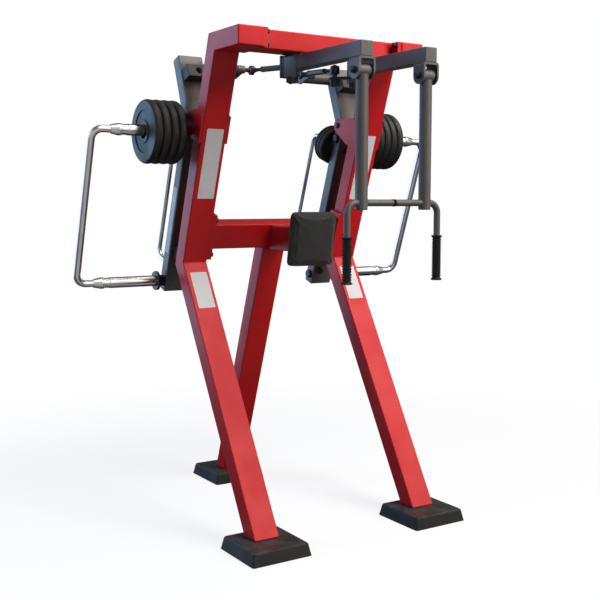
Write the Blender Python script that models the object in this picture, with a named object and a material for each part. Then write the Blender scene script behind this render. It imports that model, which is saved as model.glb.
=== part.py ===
"""Reverse fly machine: a free-standing weight machine with two swinging arms.

Metres, +Z up. X runs to the right as seen from in front of the handles, Y runs
from the handles towards the rear foot, and the floor is Z = 0. The machine is
mirrored about X = 0, so most sub-parts are made by a function of the side,
-1 for the left and +1 for the right.
"""

import math

import bmesh
import bpy
from mathutils import Matrix, Vector

# Whole machine
HEIGHT = 2.15
GAP = 0.0003
PLAY = 0.0005

# Main frame tube, 120 x 80 mm
TUBE_WIDE = 0.12
TUBE_DEEP = 0.08
TUBE_CORNER = 0.006
POST_X = 0.4144
KNEE_Y = 0.527
KNEE_Z = 1.168
POST_TILT = math.radians(19.6)
LEG_TILT = math.radians(30.0)
HEAD_FRONT_Y = 0.0

# Feet
FOOT_SIDE = 0.28
FOOT_TOP_SIDE = 0.256
FOOT_HEIGHT = 0.055
FOOT_ROUND = 0.007

# Flanges and crossbeams
FLANGE_THICK = 0.010
TOP_BEAM_Y = 0.105
TOP_BEAM_DEEP = 0.12
TOP_FLANGE_LONG = 0.196
MID_BEAM_Z = 1.2795
MID_BEAM_BACK = 0.009
MID_FLANGE_LONG = 0.214

# Torso pad
PAD_WIDE = 0.242
PAD_TALL = 0.25
PAD_THICK = 0.034
PAD_CROWN = 0.006
PAD_DRAW = 0.003
PAD_CORNER = 0.024
PAD_TILT = math.radians(9.1)
PAD_FACE_Y = 0.1644
PAD_FACE_Z = 1.2733
PAD_STUB_WIDE = 0.08
PAD_STUB_TALL = 0.116
PAD_PLATE_SIDE = 0.18
PAD_PLATE_THICK = 0.006

# Lever and its pivot on the side post
PIVOT_Y = 0.4857
PIVOT_Z = 1.8157
LEVER_PLAY = 0.0006
LEVER_WIDE = TUBE_WIDE - 2.0 * LEVER_PLAY
LEVER_DEEP = 0.06
LEVER_UP = 0.2875
LEVER_DOWN = 0.833
BRACKET_THICK = 0.010
BRACKET_SUNK = 0.0002
BRACKET_NOSE = 0.030
BRACKET_FRONT_LOW = 0.135
PIVOT_BOLT_R = 0.012
PIVOT_HEAD_R = 0.0155
PIVOT_HEAD_THICK = 0.010
STOP_BLOCK_ALONG = 0.1886
STOP_BLOCK_TALL = 0.055
STOP_BLOCK_DEEP = 0.0565
STOP_BLOCK_WIDE = 0.108
STOP_BLOCK_BORE_R = 0.015
BUMPER_ALONG = 0.628
BUMPER_TALL = 0.058
BUMPER_WIDE = 0.082

# Cross tube with the crank that the link drives
CROSS_TUBE_ALONG = 0.24
CROSS_TUBE_R = 0.025
CRANK_X = 0.180
CRANK_THICK = 0.010
CRANK_REACH = 0.072
CRANK_RISE = 0.004
CRANK_TUBE_END_R = 0.031
CRANK_PIN_END_R = 0.013
CRANK_PIN_R = 0.006
CRANK_HUB_R = 0.018
CRANK_HUB_IN = 0.003
CRANK_HUB_OUT = 0.026
CRANK_SPACER_R = 0.010
CRANK_HEAD_R = 0.015
CRANK_HEAD_THICK = 0.005

# Link between the crank and the arm's horn
EYE_R = 0.0215
EYE_WIDE = 0.016
BALL_X = 0.132
BALL_R = 0.0135
BALL_WIDE = 0.020
SHANK_R = 0.008
LOCK_NUT_R = 0.0145
LOCK_NUT_LONG = 0.012
TURNBUCKLE_R = 0.0125
TURNBUCKLE_LONG = 0.130
SHANK_SUNK = 0.004
FRONT_EYE_R = 0.021
FRONT_EYE_TALL = 0.0355
FRONT_EYE_STUB = 0.0155
HORN_BOLT_R = 0.011

# Rails that carry the weight plates
SLEEVE_R = 0.025
SIDE_RAIL_R = 0.016
SIDE_RAIL_TOP = 0.0667
SIDE_RAIL_LOW = 0.7872
SIDE_RAIL_BEND = 0.046
SIDE_COLLAR_X = 0.772
SIDE_COLLAR_LONG = 0.050
SIDE_RAIL_STRAIGHT = 0.078
SIDE_RAIL_X = SIDE_COLLAR_X + SIDE_COLLAR_LONG + SIDE_RAIL_STRAIGHT
SIDE_COLLAR_FLAT = 0.012
SIDE_COLLAR_STEP = 0.0015
RAIL_DISC_R = 0.045
RAIL_DISC_THICK = 0.012
RAIL_DISC_X = 0.503
RAIL_CAP_R = 0.021
RAIL_CAP_LONG = 0.015
REAR_RAIL_X = 0.391
REAR_RAIL_R = 0.011
REAR_RAIL_TOP = 0.1132
REAR_RAIL_LOW = 0.757
REAR_RAIL_REACH = 0.252
REAR_RAIL_BEND = 0.042
REAR_SLEEVE_LONG = 0.125
BORE_PLAY = 0.0005

# Weight plates
PLATE_BORE_R = 0.0305
SIDE_PLATE_R = 0.1367
SIDE_PLATE_THICK = 0.038
SIDE_PLATE_HUB_R = 0.050
SIDE_PLATE_WEB = 0.004
SIDE_PLATE_SIDES = 22
SIDE_PLATE_COUNT = 4
REAR_PLATE_R = 0.092
REAR_PLATE_THICK = 0.0235
REAR_PLATE_HUB_R = 0.042
REAR_PLATE_WEB = 0.003
REAR_PLATE_SIDES = 16
REAR_PLATE_COUNT = 3
REAR_PLATE_OFF = 0.004

# Arms
ARM_X = 0.158
ARM_SIDE = 0.06
ARM_DROP = 0.096
ARM_TOP_Z = HEIGHT - ARM_DROP
ARM_TIP_Y = -0.4344
ARM_REAR_Y = 0.088
ARM_PIVOT_X = 0.1636
HUB_R = 0.0215
HUB_DROP = 0.085
HUB_LOW_Z = ARM_TOP_Z - HUB_DROP
CHEEK_FRONT_Y = 0.022
CHEEK_REAR_Y = 0.128
CHEEK_THICK = 0.009
CHEEK_PROUD = 0.001
CHEEK_LIP_THICK = 0.010
CHEEK_LIP_WIDE = 0.024
ARM_PIN_R = 0.015
ARM_WASHER_R = 0.038
ARM_WASHER_THICK = 0.0047
ARM_COLLAR_R = 0.019
ARM_COLLAR_LONG = 0.020
ARM_NUT_R = 0.009
ARM_NUT_LONG = 0.006
HORN_BOLT_X = 0.110
HORN_BOLT_Y = 0.170
HORN_THICK = 0.008
HORN_TIP_R = 0.030
HORN_ROOT_R = 0.024
HORN_BOSS_R = 0.022
HORN_BOSS_LONG = 0.030
HORN_CLEAR = 0.0014

# Clevis and hanging handle
CLEVIS_WIDE = 0.076
CLEVIS_LONG = 0.068
CLEVIS_SHEET = 0.008
CLEVIS_BEND = 0.010
CLEVIS_PIN_Y = -0.403
CLEVIS_DROP = 0.110
CLEVIS_PIN_Z = ARM_TOP_Z - CLEVIS_DROP
CLEVIS_NOSE = 0.034
CLEVIS_PIN_R = 0.010
CLEVIS_HEAD_R = 0.0142
CLEVIS_HEAD_THICK = 0.018
HANGER_BUSH_R = 0.027
HANGER_TUBE_R = 0.025
HANGER_LONG = 0.533
HANGER_LOW_Z = CLEVIS_PIN_Z - HANGER_LONG
BAR_R = 0.0135
BAR_RISE = 0.028
BAR_Z = HANGER_LOW_Z + BAR_RISE
BAR_INNER_X = 0.0035
BAR_OUTER_X = 0.2254
BAR_BEND = 0.042
BAR_FALL = 0.3135
BAR_LOW_Z = BAR_Z - BAR_FALL
GRIP_R = 0.0172
GRIP_FLANGE_R = 0.0225
GRIP_FLANGE_THICK = 0.006
GRIP_LONG = 0.184
GRIP_WRAP = 0.002
GRIP_WALL_PLAY = 0.0003

SIDES = {"left": -1, "right": 1}
UP_POST = Vector((0.0, -math.sin(POST_TILT), math.cos(POST_TILT)))
BACK_POST = Vector((0.0, math.cos(POST_TILT), math.sin(POST_TILT)))
UP_LEVER = Vector((0.0, math.sin(POST_TILT), math.cos(POST_TILT)))
DOWN_LEVER = -UP_POST


def clear_scene():
    """Leaves an empty file to build in."""
    for thing in list(bpy.data.objects):
        bpy.data.objects.remove(thing, do_unlink=True)


def material(name, colour, roughness, metallic):
    """A Principled material with the part's plain colour."""
    found = bpy.data.materials.get(name)
    if found:
        return found
    made = bpy.data.materials.new(name)
    made.use_nodes = True
    shader = made.node_tree.nodes["Principled BSDF"]
    shader.inputs["Base Color"].default_value = (*colour, 1.0)
    shader.inputs["Roughness"].default_value = roughness
    shader.inputs["Metallic"].default_value = metallic
    return made


def red_paint():
    return material("red_paint", (0.50, 0.035, 0.04), 0.42, 0.0)


def graphite_paint():
    return material("graphite_paint", (0.11, 0.112, 0.118), 0.38, 0.55)


def chrome():
    return material("chrome", (0.78, 0.78, 0.79), 0.12, 1.0)


def black_steel():
    return material("black_steel", (0.03, 0.03, 0.033), 0.35, 0.8)


def black_rubber():
    return material("black_rubber", (0.018, 0.018, 0.02), 0.65, 0.0)


def pad_cover():
    return material("pad_cover", (0.045, 0.042, 0.04), 0.6, 0.0)


def empty(name, place, parent=None):
    """An unturned empty that marks a joint's axis."""
    made = bpy.data.objects.new(name, None)
    bpy.context.scene.collection.objects.link(made)
    made.empty_display_size = 0.05
    settle(made, place, parent)
    return made


def machine_middle():
    """The origin: on the floor, halfway between the clevises and the rear foot."""
    front = min(ARM_TIP_Y, CLEVIS_PIN_Y - CLEVIS_NOSE)
    rear = rear_foot_centre_y() + FOOT_SIDE / 2.0
    return Vector((0.0, (front + rear) / 2.0, 0.0))


def settle(made, place, parent):
    """Puts an unturned object at a place of the whole machine, under its parent.

    Places are given from the front face of the posts' heads, and the origin is
    the middle of the machine's outline.
    """
    made.parent = parent
    offset = Vector(place) - machine_middle()
    while parent is not None:
        offset -= parent.location
        parent = parent.parent
    made.location = offset


def finish(bm, name, look, place=(0.0, 0.0, 0.0), parent=None, smooth=None):
    """Turns a bmesh into a linked object, with outward faces."""
    bmesh.ops.remove_doubles(bm, verts=bm.verts, dist=0.00001)
    bmesh.ops.recalc_face_normals(bm, faces=bm.faces)
    mesh = bpy.data.meshes.new(name)
    bm.to_mesh(mesh)
    bm.free()
    return link(mesh, name, look, place, parent, smooth)


def link(mesh, name, look, place=(0.0, 0.0, 0.0), parent=None, smooth=None):
    """Links an object that shows the mesh."""
    if smooth is not None:
        mesh.shade_smooth()
        mesh.set_sharp_from_angle(angle=math.radians(smooth))
    made = bpy.data.objects.new(name, mesh)
    bpy.context.scene.collection.objects.link(made)
    if not mesh.materials:
        mesh.materials.append(look)
    settle(made, place, parent)
    return made


def prism_mesh(bm, outline, half, centre_x=0.0):
    """Extrudes a closed outline of (y, z) points along X."""
    ring = [bm.verts.new((centre_x - half, y, z)) for y, z in outline]
    face = bm.faces.new(ring)
    moved = bmesh.ops.extrude_face_region(bm, geom=[face])
    tops = [item for item in moved["geom"] if isinstance(item, bmesh.types.BMVert)]
    bmesh.ops.translate(bm, vec=(2.0 * half, 0.0, 0.0), verts=tops)


def box_mesh(bm, low, high):
    """A box between two corners."""
    size = Vector(high) - Vector(low)
    centre = (Vector(high) + Vector(low)) / 2.0
    scale = Matrix.Diagonal((*size, 1.0))
    bmesh.ops.create_cube(bm, size=1.0, matrix=Matrix.Translation(centre) @ scale)


def place_box(bm, one, other, place):
    """A box between two opposite corners of the machine, seen from a place in it."""
    low = [min(a, b) - c for a, b, c in zip(one, other, place)]
    high = [max(a, b) - c for a, b, c in zip(one, other, place)]
    box_mesh(bm, low, high)


def turn_mesh(bm, profile, segments, axis=Vector((1.0, 0.0, 0.0)), centre=Vector((0.0, 0.0, 0.0))):
    """Revolves a closed profile of (radius, position along the axis) points."""
    turn = axis.to_track_quat("Z", "Y").to_matrix()
    rings = []
    for step in range(segments):
        angle = 2.0 * math.pi * step / segments
        spoke = Vector((math.cos(angle), math.sin(angle), 0.0))
        ring = []
        for radius, along in profile:
            point = turn @ (spoke * radius + Vector((0.0, 0.0, along))) + centre
            ring.append(bm.verts.new(point))
        rings.append(ring)
    count = len(profile)
    for step in range(segments):
        here = rings[step]
        there = rings[(step + 1) % segments]
        for k in range(count):
            after = (k + 1) % count
            bm.faces.new((here[k], here[after], there[after], there[k]))


def turned_solid(bm, points, segments, axis, centre=Vector((0.0, 0.0, 0.0))):
    """A revolved body without a bore, with single points on its axis."""
    turn = axis.to_track_quat("Z", "Y").to_matrix()
    rings = []
    for step in range(segments):
        angle = 2.0 * math.pi * step / segments
        spoke = Vector((math.cos(angle), math.sin(angle), 0.0))
        rings.append([
            bm.verts.new(turn @ (spoke * radius + Vector((0.0, 0.0, along))) + centre)
            for radius, along in points
        ])
    for step in range(segments):
        here = rings[step]
        there = rings[(step + 1) % segments]
        for k in range(len(points) - 1):
            bm.faces.new((here[k], here[k + 1], there[k + 1], there[k]))
    bm.faces.new([ring[0] for ring in reversed(rings)])
    bm.faces.new([ring[-1] for ring in rings])


def corner_path(points, bend, steps):
    """A route through the points with each inner corner turned to an arc."""
    route = [Vector(points[0])]
    for k in range(1, len(points) - 1):
        corner = Vector(points[k])
        before = (Vector(points[k - 1]) - corner).normalized()
        after = (Vector(points[k + 1]) - corner).normalized()
        half = before.angle(after) / 2.0
        reach = bend / math.tan(half)
        middle = corner + (before + after).normalized() * (bend / math.sin(half))
        start = corner + before * reach
        spin = (start - middle).cross(corner + after * reach - middle).normalized()
        sweep = math.pi - 2.0 * half
        for step in range(steps + 1):
            turn = Matrix.Rotation(sweep * step / steps, 3, spin)
            route.append(middle + turn @ (start - middle))
    route.append(Vector(points[-1]))
    return route


def tube_mesh(bm, stations, segments):
    """A closed round body along (point, radius) stations that lie in one plane."""
    places = [Vector(point) for point, _ in stations]
    normal = Vector((0.0, 0.0, 0.0))
    for k in range(1, len(places) - 1):
        normal += (places[k] - places[k - 1]).cross(places[-1] - places[0])
    if normal.length < 1e-9:
        normal = (places[-1] - places[0]).orthogonal()
    normal.normalize()
    rings = []
    for k, (_, radius) in enumerate(stations):
        before = k - 1
        while before >= 0 and (places[k] - places[before]).length < 1e-7:
            before -= 1
        after = k + 1
        while after < len(places) and (places[after] - places[k]).length < 1e-7:
            after += 1
        ahead = (places[after] - places[k]).normalized() if after < len(places) else None
        behind = (places[k] - places[before]).normalized() if before >= 0 else None
        along = ((ahead or behind) + (behind or ahead)).normalized()
        stretch = 1.0
        if ahead and behind:
            stretch = 1.0 / max(0.5, math.cos(ahead.angle(behind) / 2.0))
        across = normal.cross(along).normalized()
        ring = []
        for step in range(segments):
            angle = 2.0 * math.pi * (step + 0.5) / segments
            offset = across * (math.cos(angle) * radius * stretch) + normal * (math.sin(angle) * radius)
            ring.append(bm.verts.new(places[k] + offset))
        rings.append(ring)
    for here, there in zip(rings, rings[1:]):
        for step in range(segments):
            after = (step + 1) % segments
            bm.faces.new((here[step], here[after], there[after], there[step]))
    bm.faces.new(list(reversed(rings[0])))
    bm.faces.new(rings[-1])


def offset_line(points, distance):
    """Moves an open (y, z) path sideways to its right, with mitred corners."""
    moved = []
    last = len(points) - 1
    for k, point in enumerate(points):
        sides = []
        for a, b in ((k - 1, k), (k, k + 1)):
            if a >= 0 and b <= last:
                run = Vector(points[b]) - Vector(points[a])
                run.normalize()
                sides.append(Vector((run[1], -run[0])))
        total = sides[0] if len(sides) == 1 else (sides[0] + sides[1]).normalized()
        moved.append(Vector(point) + total * (distance / total.dot(sides[0])))
    return moved


def add_bevel(made, width, segments=2, limit=35.0):
    """Rounds the edges that turn by more than the limit."""
    bevel = made.modifiers.new("rounded edges", "BEVEL")
    bevel.width = width
    bevel.segments = segments
    bevel.limit_method = "ANGLE"
    bevel.angle_limit = math.radians(limit)
    bevel.use_clamp_overlap = True
    bevel.harden_normals = False


def boolean(made, cutter, operation):
    """Adds an exact Boolean with a hidden guide body."""
    step = made.modifiers.new(operation.lower(), "BOOLEAN")
    step.operation = operation
    step.solver = "EXACT"
    step.object = cutter
    cutter.hide_render = True
    cutter.display_type = "WIRE"


def bore(made, centre, axis, radius, length, segments=16):
    """Cuts a round hole, its middle at the centre."""
    bm = bmesh.new()
    points = [(radius, -length / 2.0), (radius, length / 2.0)]
    turned_solid(bm, points, segments, Vector(axis), Vector(centre))
    cutter = finish(bm, made.name + "_bore_guide", black_steel())
    boolean(made, cutter, "DIFFERENCE")


def arc(centre, radius, start, end, steps):
    """Points of an arc in a plane, angles in degrees."""
    return [
        (
            centre[0] + radius * math.cos(math.radians(start + (end - start) * k / steps)),
            centre[1] + radius * math.sin(math.radians(start + (end - start) * k / steps)),
        )
        for k in range(steps + 1)
    ]


def post_front_y(z):
    """Where the front face of the upper post stands at a height."""
    return KNEE_Y - (z - KNEE_Z) * math.tan(POST_TILT)


def leg_front_y(z):
    """Where the front face of the lower front leg stands at a height."""
    return KNEE_Y - (KNEE_Z - z) * math.tan(LEG_TILT)


def on_lever(down, back=0.0):
    """A (y, z) place on the lever's lower section, from its pivot."""
    point = Vector((0.0, PIVOT_Y, PIVOT_Z)) + DOWN_LEVER * down + BACK_POST * back
    return point.y, point.z


def on_lever_top(up, back=0.0):
    """A (y, z) place on the lever's upper section, from its pivot."""
    back_up = Vector((0.0, math.cos(POST_TILT), -math.sin(POST_TILT)))
    point = Vector((0.0, PIVOT_Y, PIVOT_Z)) + UP_LEVER * up + back_up * back
    return point.y, point.z


def slab(centre, along, long, back, deep):
    """A (y, z) rectangle round a centre, its sides along two directions."""
    middle = Vector((0.0, *centre))
    corners = []
    for a, b in ((-1, -1), (1, -1), (1, 1), (-1, 1)):
        point = middle + along * (a * long / 2.0) + back * (b * deep / 2.0)
        corners.append((point.y, point.z))
    return corners


def foot_centre_y():
    """The front feet stand under the middle of their legs."""
    return leg_front_y(0.0) + TUBE_DEEP / (2.0 * math.cos(LEG_TILT))


def rear_leg_front_y(z):
    """The rear leg runs on in the posts' plane, set back a little."""
    return post_front_y(z) + MID_BEAM_BACK / math.cos(POST_TILT)


def rear_foot_centre_y():
    return rear_leg_front_y(0.0) + TUBE_DEEP / (2.0 * math.cos(POST_TILT))


def build_foot(name, x, y, parent):
    """A moulded rubber shoe over the anchor plate of a leg."""
    bm = bmesh.new()
    low = FOOT_SIDE / 2.0
    top = FOOT_TOP_SIDE / 2.0
    bmesh.ops.create_cube(bm, size=1.0)
    for vert in bm.verts:
        side = top if vert.co.z > 0 else low
        vert.co.x = math.copysign(side, vert.co.x)
        vert.co.y = math.copysign(side, vert.co.y)
        vert.co.z = FOOT_HEIGHT if vert.co.z > 0 else 0.0
    made = finish(bm, name, black_rubber(), (x, y, 0.0), parent, 40.0)
    upright = [edge for edge in made.data.edges if is_foot_edge(made.data, edge)]
    weights = made.data.attributes.new("bevel_weight_edge", "FLOAT", "EDGE")
    for edge in upright:
        weights.data[edge.index].value = 1.0
    bevel = made.modifiers.new("rounded edges", "BEVEL")
    bevel.width = FOOT_ROUND
    bevel.segments = 3
    bevel.limit_method = "WEIGHT"


def is_foot_edge(mesh, edge):
    """True for a foot's top and upright edges."""
    heights = [mesh.vertices[k].co.z for k in edge.vertices]
    return max(heights) > 0.5 * FOOT_HEIGHT


def build_side_frame(name, side, parent):
    """Front leg, bent post and head of one side, with its flanges and lever brackets."""
    low_z = FOOT_HEIGHT + GAP
    head_low_z = HEIGHT - TUBE_DEEP
    front = [
        (leg_front_y(low_z), low_z),
        (KNEE_Y, KNEE_Z),
        (post_front_y(head_low_z), head_low_z),
        (HEAD_FRONT_Y, head_low_z),
    ]
    rear = offset_line(front, TUBE_DEEP)
    cut = (low_z - rear[0][1]) / (rear[1][1] - rear[0][1])
    rear[0] = rear[0] + (rear[1] - rear[0]) * cut
    outline = [tuple(point) for point in front] + [tuple(point) for point in reversed(rear)]
    bm = bmesh.new()
    prism_mesh(bm, outline, TUBE_WIDE / 2.0)
    made = finish(bm, name, red_paint(), (side * POST_X, 0.0, 0.0), parent)
    add_bevel(made, TUBE_CORNER)
    inner = -side * (TUBE_WIDE / 2.0)
    sunk = 0.001
    plate_half = (FLANGE_THICK + sunk) / 2.0
    plate_x = inner - side * (FLANGE_THICK - sunk) / 2.0
    top = slab(
        (TOP_BEAM_Y - 0.002, HEIGHT - TUBE_DEEP / 2.0),
        Vector((0.0, 1.0, 0.0)),
        TOP_FLANGE_LONG,
        Vector((0.0, 0.0, 1.0)),
        TUBE_DEEP - 0.001,
    )
    middle = mid_beam_centre(0.0)
    low = slab(middle, UP_POST, MID_FLANGE_LONG, BACK_POST, TUBE_DEEP - 0.002)
    for part in (top, low):
        guide = bmesh.new()
        prism_mesh(guide, part, plate_half, plate_x)
        weld = finish(guide, name + "_flange_guide", red_paint(), made.location, parent)
        boolean(made, weld, "UNION")
    for face in (-1, 1):
        guide = bmesh.new()
        middle_x = face * (TUBE_WIDE + BRACKET_THICK - BRACKET_SUNK) / 2.0
        prism_mesh(guide, bracket_outline(), (BRACKET_THICK + BRACKET_SUNK) / 2.0, middle_x)
        weld = finish(guide, name + "_bracket_guide", red_paint(), made.location, parent)
        boolean(made, weld, "UNION")
    guide = bmesh.new()
    reach = TUBE_WIDE / 2.0 + 2.0 * BRACKET_THICK
    points = [(PIVOT_BOLT_R + PLAY, -reach), (PIVOT_BOLT_R + PLAY, reach)]
    turned_solid(guide, points, 20, Vector((1.0, 0.0, 0.0)), Vector((0.0, PIVOT_Y, PIVOT_Z)))
    boolean(made, finish(guide, name + "_pivot_guide", red_paint(), made.location, parent), "DIFFERENCE")


def bracket_outline():
    """Side view of a lever bracket: flush with the post in front, round at the pivot."""
    low_z = PIVOT_Z - BRACKET_FRONT_LOW * math.cos(POST_TILT) + 0.007
    nose = arc((PIVOT_Y, PIVOT_Z), BRACKET_NOSE, 92.0, -52.0, 8)
    front_low = (post_front_y(low_z) + 0.004, low_z)
    knee_low = (post_front_y(low_z) + 0.078, low_z + 0.026)
    front_top = (post_front_y(PIVOT_Z - 0.006) + 0.004, PIVOT_Z - 0.006)
    shoulder = (post_front_y(PIVOT_Z) + 0.058, PIVOT_Z + BRACKET_NOSE - 0.004)
    return [front_low, front_top, shoulder, *nose, knee_low]


def mid_beam_centre(back):
    """The (y, z) centre of the middle crossbeam's section, moved back on request."""
    front_y = post_front_y(MID_BEAM_Z)
    middle = Vector((0.0, front_y, MID_BEAM_Z)) + BACK_POST * (TUBE_DEEP / 2.0 + back)
    return middle.y, middle.z


def build_top_crossbeam(parent):
    """The flat-lying beam that carries both arms, with a flange at each end."""
    bm = bmesh.new()
    reach = POST_X - TUBE_WIDE / 2.0 - FLANGE_THICK - GAP
    half = Vector((reach, TOP_BEAM_DEEP / 2.0, TUBE_DEEP / 2.0))
    box_mesh(bm, -half, half)
    centre = (0.0, TOP_BEAM_Y, HEIGHT - TUBE_DEEP / 2.0)
    made = finish(bm, "top_crossbeam", red_paint(), centre, parent)
    add_bevel(made, TUBE_CORNER)
    for side in SIDES.values():
        guide = bmesh.new()
        outline = slab(
            (-0.002, 0.0),
            Vector((0.0, 1.0, 0.0)),
            TOP_FLANGE_LONG,
            Vector((0.0, 0.0, 1.0)),
            TUBE_DEEP - 0.001,
        )
        prism_mesh(guide, outline, FLANGE_THICK / 2.0, side * (reach - FLANGE_THICK / 2.0))
        weld = finish(guide, "top_crossbeam_flange_guide", red_paint(), centre, parent)
        boolean(made, weld, "UNION")


def build_mid_crossbeam(parent):
    """The beam between the knees, in the posts' plane, with its flanges."""
    reach = POST_X - TUBE_WIDE / 2.0 - FLANGE_THICK - GAP
    bm = bmesh.new()
    centre = mid_beam_centre(MID_BEAM_BACK)
    prism_mesh(bm, slab(centre, UP_POST, TUBE_WIDE, BACK_POST, TUBE_DEEP), reach)
    made = finish(bm, "mid_crossbeam", red_paint(), (0.0, 0.0, 0.0), parent)
    add_bevel(made, TUBE_CORNER)
    for side in SIDES.values():
        guide = bmesh.new()
        plate = slab(mid_beam_centre(0.0), UP_POST, MID_FLANGE_LONG, BACK_POST, TUBE_DEEP - 0.002)
        prism_mesh(guide, plate, FLANGE_THICK / 2.0, side * (reach - FLANGE_THICK / 2.0))
        boolean(made, finish(guide, "mid_crossbeam_flange_guide", red_paint()), "UNION")


def build_rear_leg(parent):
    """The single leg from the middle crossbeam down to the rear foot."""
    middle = Vector((0.0, *mid_beam_centre(MID_BEAM_BACK)))
    start = middle - UP_POST * (TUBE_WIDE / 2.0 + GAP)
    low_z = FOOT_HEIGHT + GAP
    half = BACK_POST * (TUBE_DEEP / 2.0)
    outline = []
    for point in (start - half, start + half):
        outline.append((point.y, point.z))
    for point in (start + half, start - half):
        run = (point.z - low_z) / math.cos(POST_TILT)
        foot = point - UP_POST * run
        outline.append((foot.y, foot.z))
    bm = bmesh.new()
    prism_mesh(bm, outline, TUBE_WIDE / 2.0)
    made = finish(bm, "rear_leg", red_paint(), (0.0, 0.0, 0.0), parent)
    add_bevel(made, TUBE_CORNER)


def pad_axes():
    """Up in the pad's face, and from its face to its back."""
    up = Vector((0.0, -math.sin(PAD_TILT), math.cos(PAD_TILT)))
    back = Vector((0.0, math.cos(PAD_TILT), math.sin(PAD_TILT)))
    return up, back


def build_pad_stub(parent):
    """The short level beam that holds the torso pad out in front."""
    up, back = pad_axes()
    face = Vector((0.0, PAD_FACE_Y, PAD_FACE_Z))
    seat = face + back * (PAD_THICK + PAD_PLATE_THICK + 2.0 * GAP)
    beam = Vector((0.0, *mid_beam_centre(MID_BEAM_BACK))) - BACK_POST * (TUBE_DEEP / 2.0 + GAP)
    outline = []
    for height in (-PAD_STUB_TALL / 2.0, PAD_STUB_TALL / 2.0):
        z = PAD_FACE_Z + 0.002 + height
        front = seat + up * ((z - seat.z) / up.z)
        rear = beam + UP_POST * ((z - beam.z) / UP_POST.z)
        outline.append((front.y, z))
        outline.append((rear.y, z))
    ordered = [outline[0], outline[1], outline[3], outline[2]]
    bm = bmesh.new()
    prism_mesh(bm, ordered, PAD_STUB_WIDE / 2.0)
    made = finish(bm, "pad_stub", red_paint(), (0.0, 0.0, 0.0), parent)
    add_bevel(made, TUBE_CORNER)


def build_pad_plate(parent):
    """The steel plate that the pad is screwed to."""
    up, back = pad_axes()
    centre = Vector((0.0, PAD_FACE_Y, PAD_FACE_Z)) + back * (PAD_THICK + GAP + PAD_PLATE_THICK / 2.0)
    bm = bmesh.new()
    half = PAD_PLATE_SIDE / 2.0
    box_mesh(bm, (-half, -PAD_PLATE_THICK / 2.0, -half), (half, PAD_PLATE_THICK / 2.0, half))
    made = finish(bm, "pad_plate", black_steel(), centre, parent)
    made.rotation_euler.x = PAD_TILT
    add_bevel(made, 0.0015, 1)


def build_torso_pad(parent):
    """An upholstered pad: crowned face, drawn-in sides, round corners, flat back."""
    columns = 24
    layers = (
        (0.0, -0.003),
        (0.25, 0.0),
        (0.5, 0.0),
        (0.78, 0.0),
        (0.92, -0.004),
        (1.0, -0.011),
    )
    bm = bmesh.new()
    rings = []
    for depth, inset in layers:
        draw = PAD_DRAW * math.sin(math.pi * min(1.0, depth / 0.85))
        rings.append(pad_ring(bm, columns, PAD_THICK * (1.0 - depth), inset - draw))
    for here, there in zip(rings, rings[1:]):
        count = len(here)
        for k in range(count):
            after = (k + 1) % count
            bm.faces.new((here[k], here[after], there[after], there[k]))
    bm.faces.new(list(reversed(rings[0])))
    inner = rings[-1]
    for shrink, rise in ((0.72, 0.6), (0.38, 0.92)):
        ring = []
        for vert in rings[-1]:
            ring.append(bm.verts.new((vert.co.x * shrink, -PAD_CROWN * rise, vert.co.z * shrink)))
        for k in range(len(ring)):
            after = (k + 1) % len(ring)
            bm.faces.new((inner[k], inner[after], ring[after], ring[k]))
        inner = ring
    tip = bm.verts.new((0.0, -PAD_CROWN, 0.0))
    for k in range(len(inner)):
        bm.faces.new((inner[k], inner[(k + 1) % len(inner)], tip))
    place = (0.0, PAD_FACE_Y, PAD_FACE_Z)
    made = finish(bm, "torso_pad", pad_cover(), place, parent, 60.0)
    made.rotation_euler.x = PAD_TILT


def pad_ring(bm, columns, y, inset):
    """One round-cornered rectangle of the pad, at a depth behind its face."""
    half_x = PAD_WIDE / 2.0 + inset
    half_z = PAD_TALL / 2.0 + inset
    radius = PAD_CORNER + inset
    ring = []
    for turn, (cx, cz) in enumerate(((1, 1), (-1, 1), (-1, -1), (1, -1))):
        middle = (cx * (half_x - radius), cz * (half_z - radius))
        start = 90.0 * turn
        for x, z in arc(middle, radius, start, start + 90.0, columns // 4):
            ring.append(bm.verts.new((x, y, z)))
    return ring


def lever_outline():
    """Side view of the bent lever: a short upper and a long lower section."""
    front = [
        on_lever(LEVER_DOWN, -LEVER_DEEP / 2.0),
        (PIVOT_Y - LEVER_DEEP / (2.0 * math.cos(POST_TILT)), PIVOT_Z),
        on_lever_top(LEVER_UP, -LEVER_DEEP / 2.0),
    ]
    rear = [
        on_lever_top(LEVER_UP, LEVER_DEEP / 2.0),
        (PIVOT_Y + LEVER_DEEP / (2.0 * math.cos(POST_TILT)), PIVOT_Z),
        on_lever(LEVER_DOWN, LEVER_DEEP / 2.0),
    ]
    return [(y - PIVOT_Y, z - PIVOT_Z) for y, z in front + rear]


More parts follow.
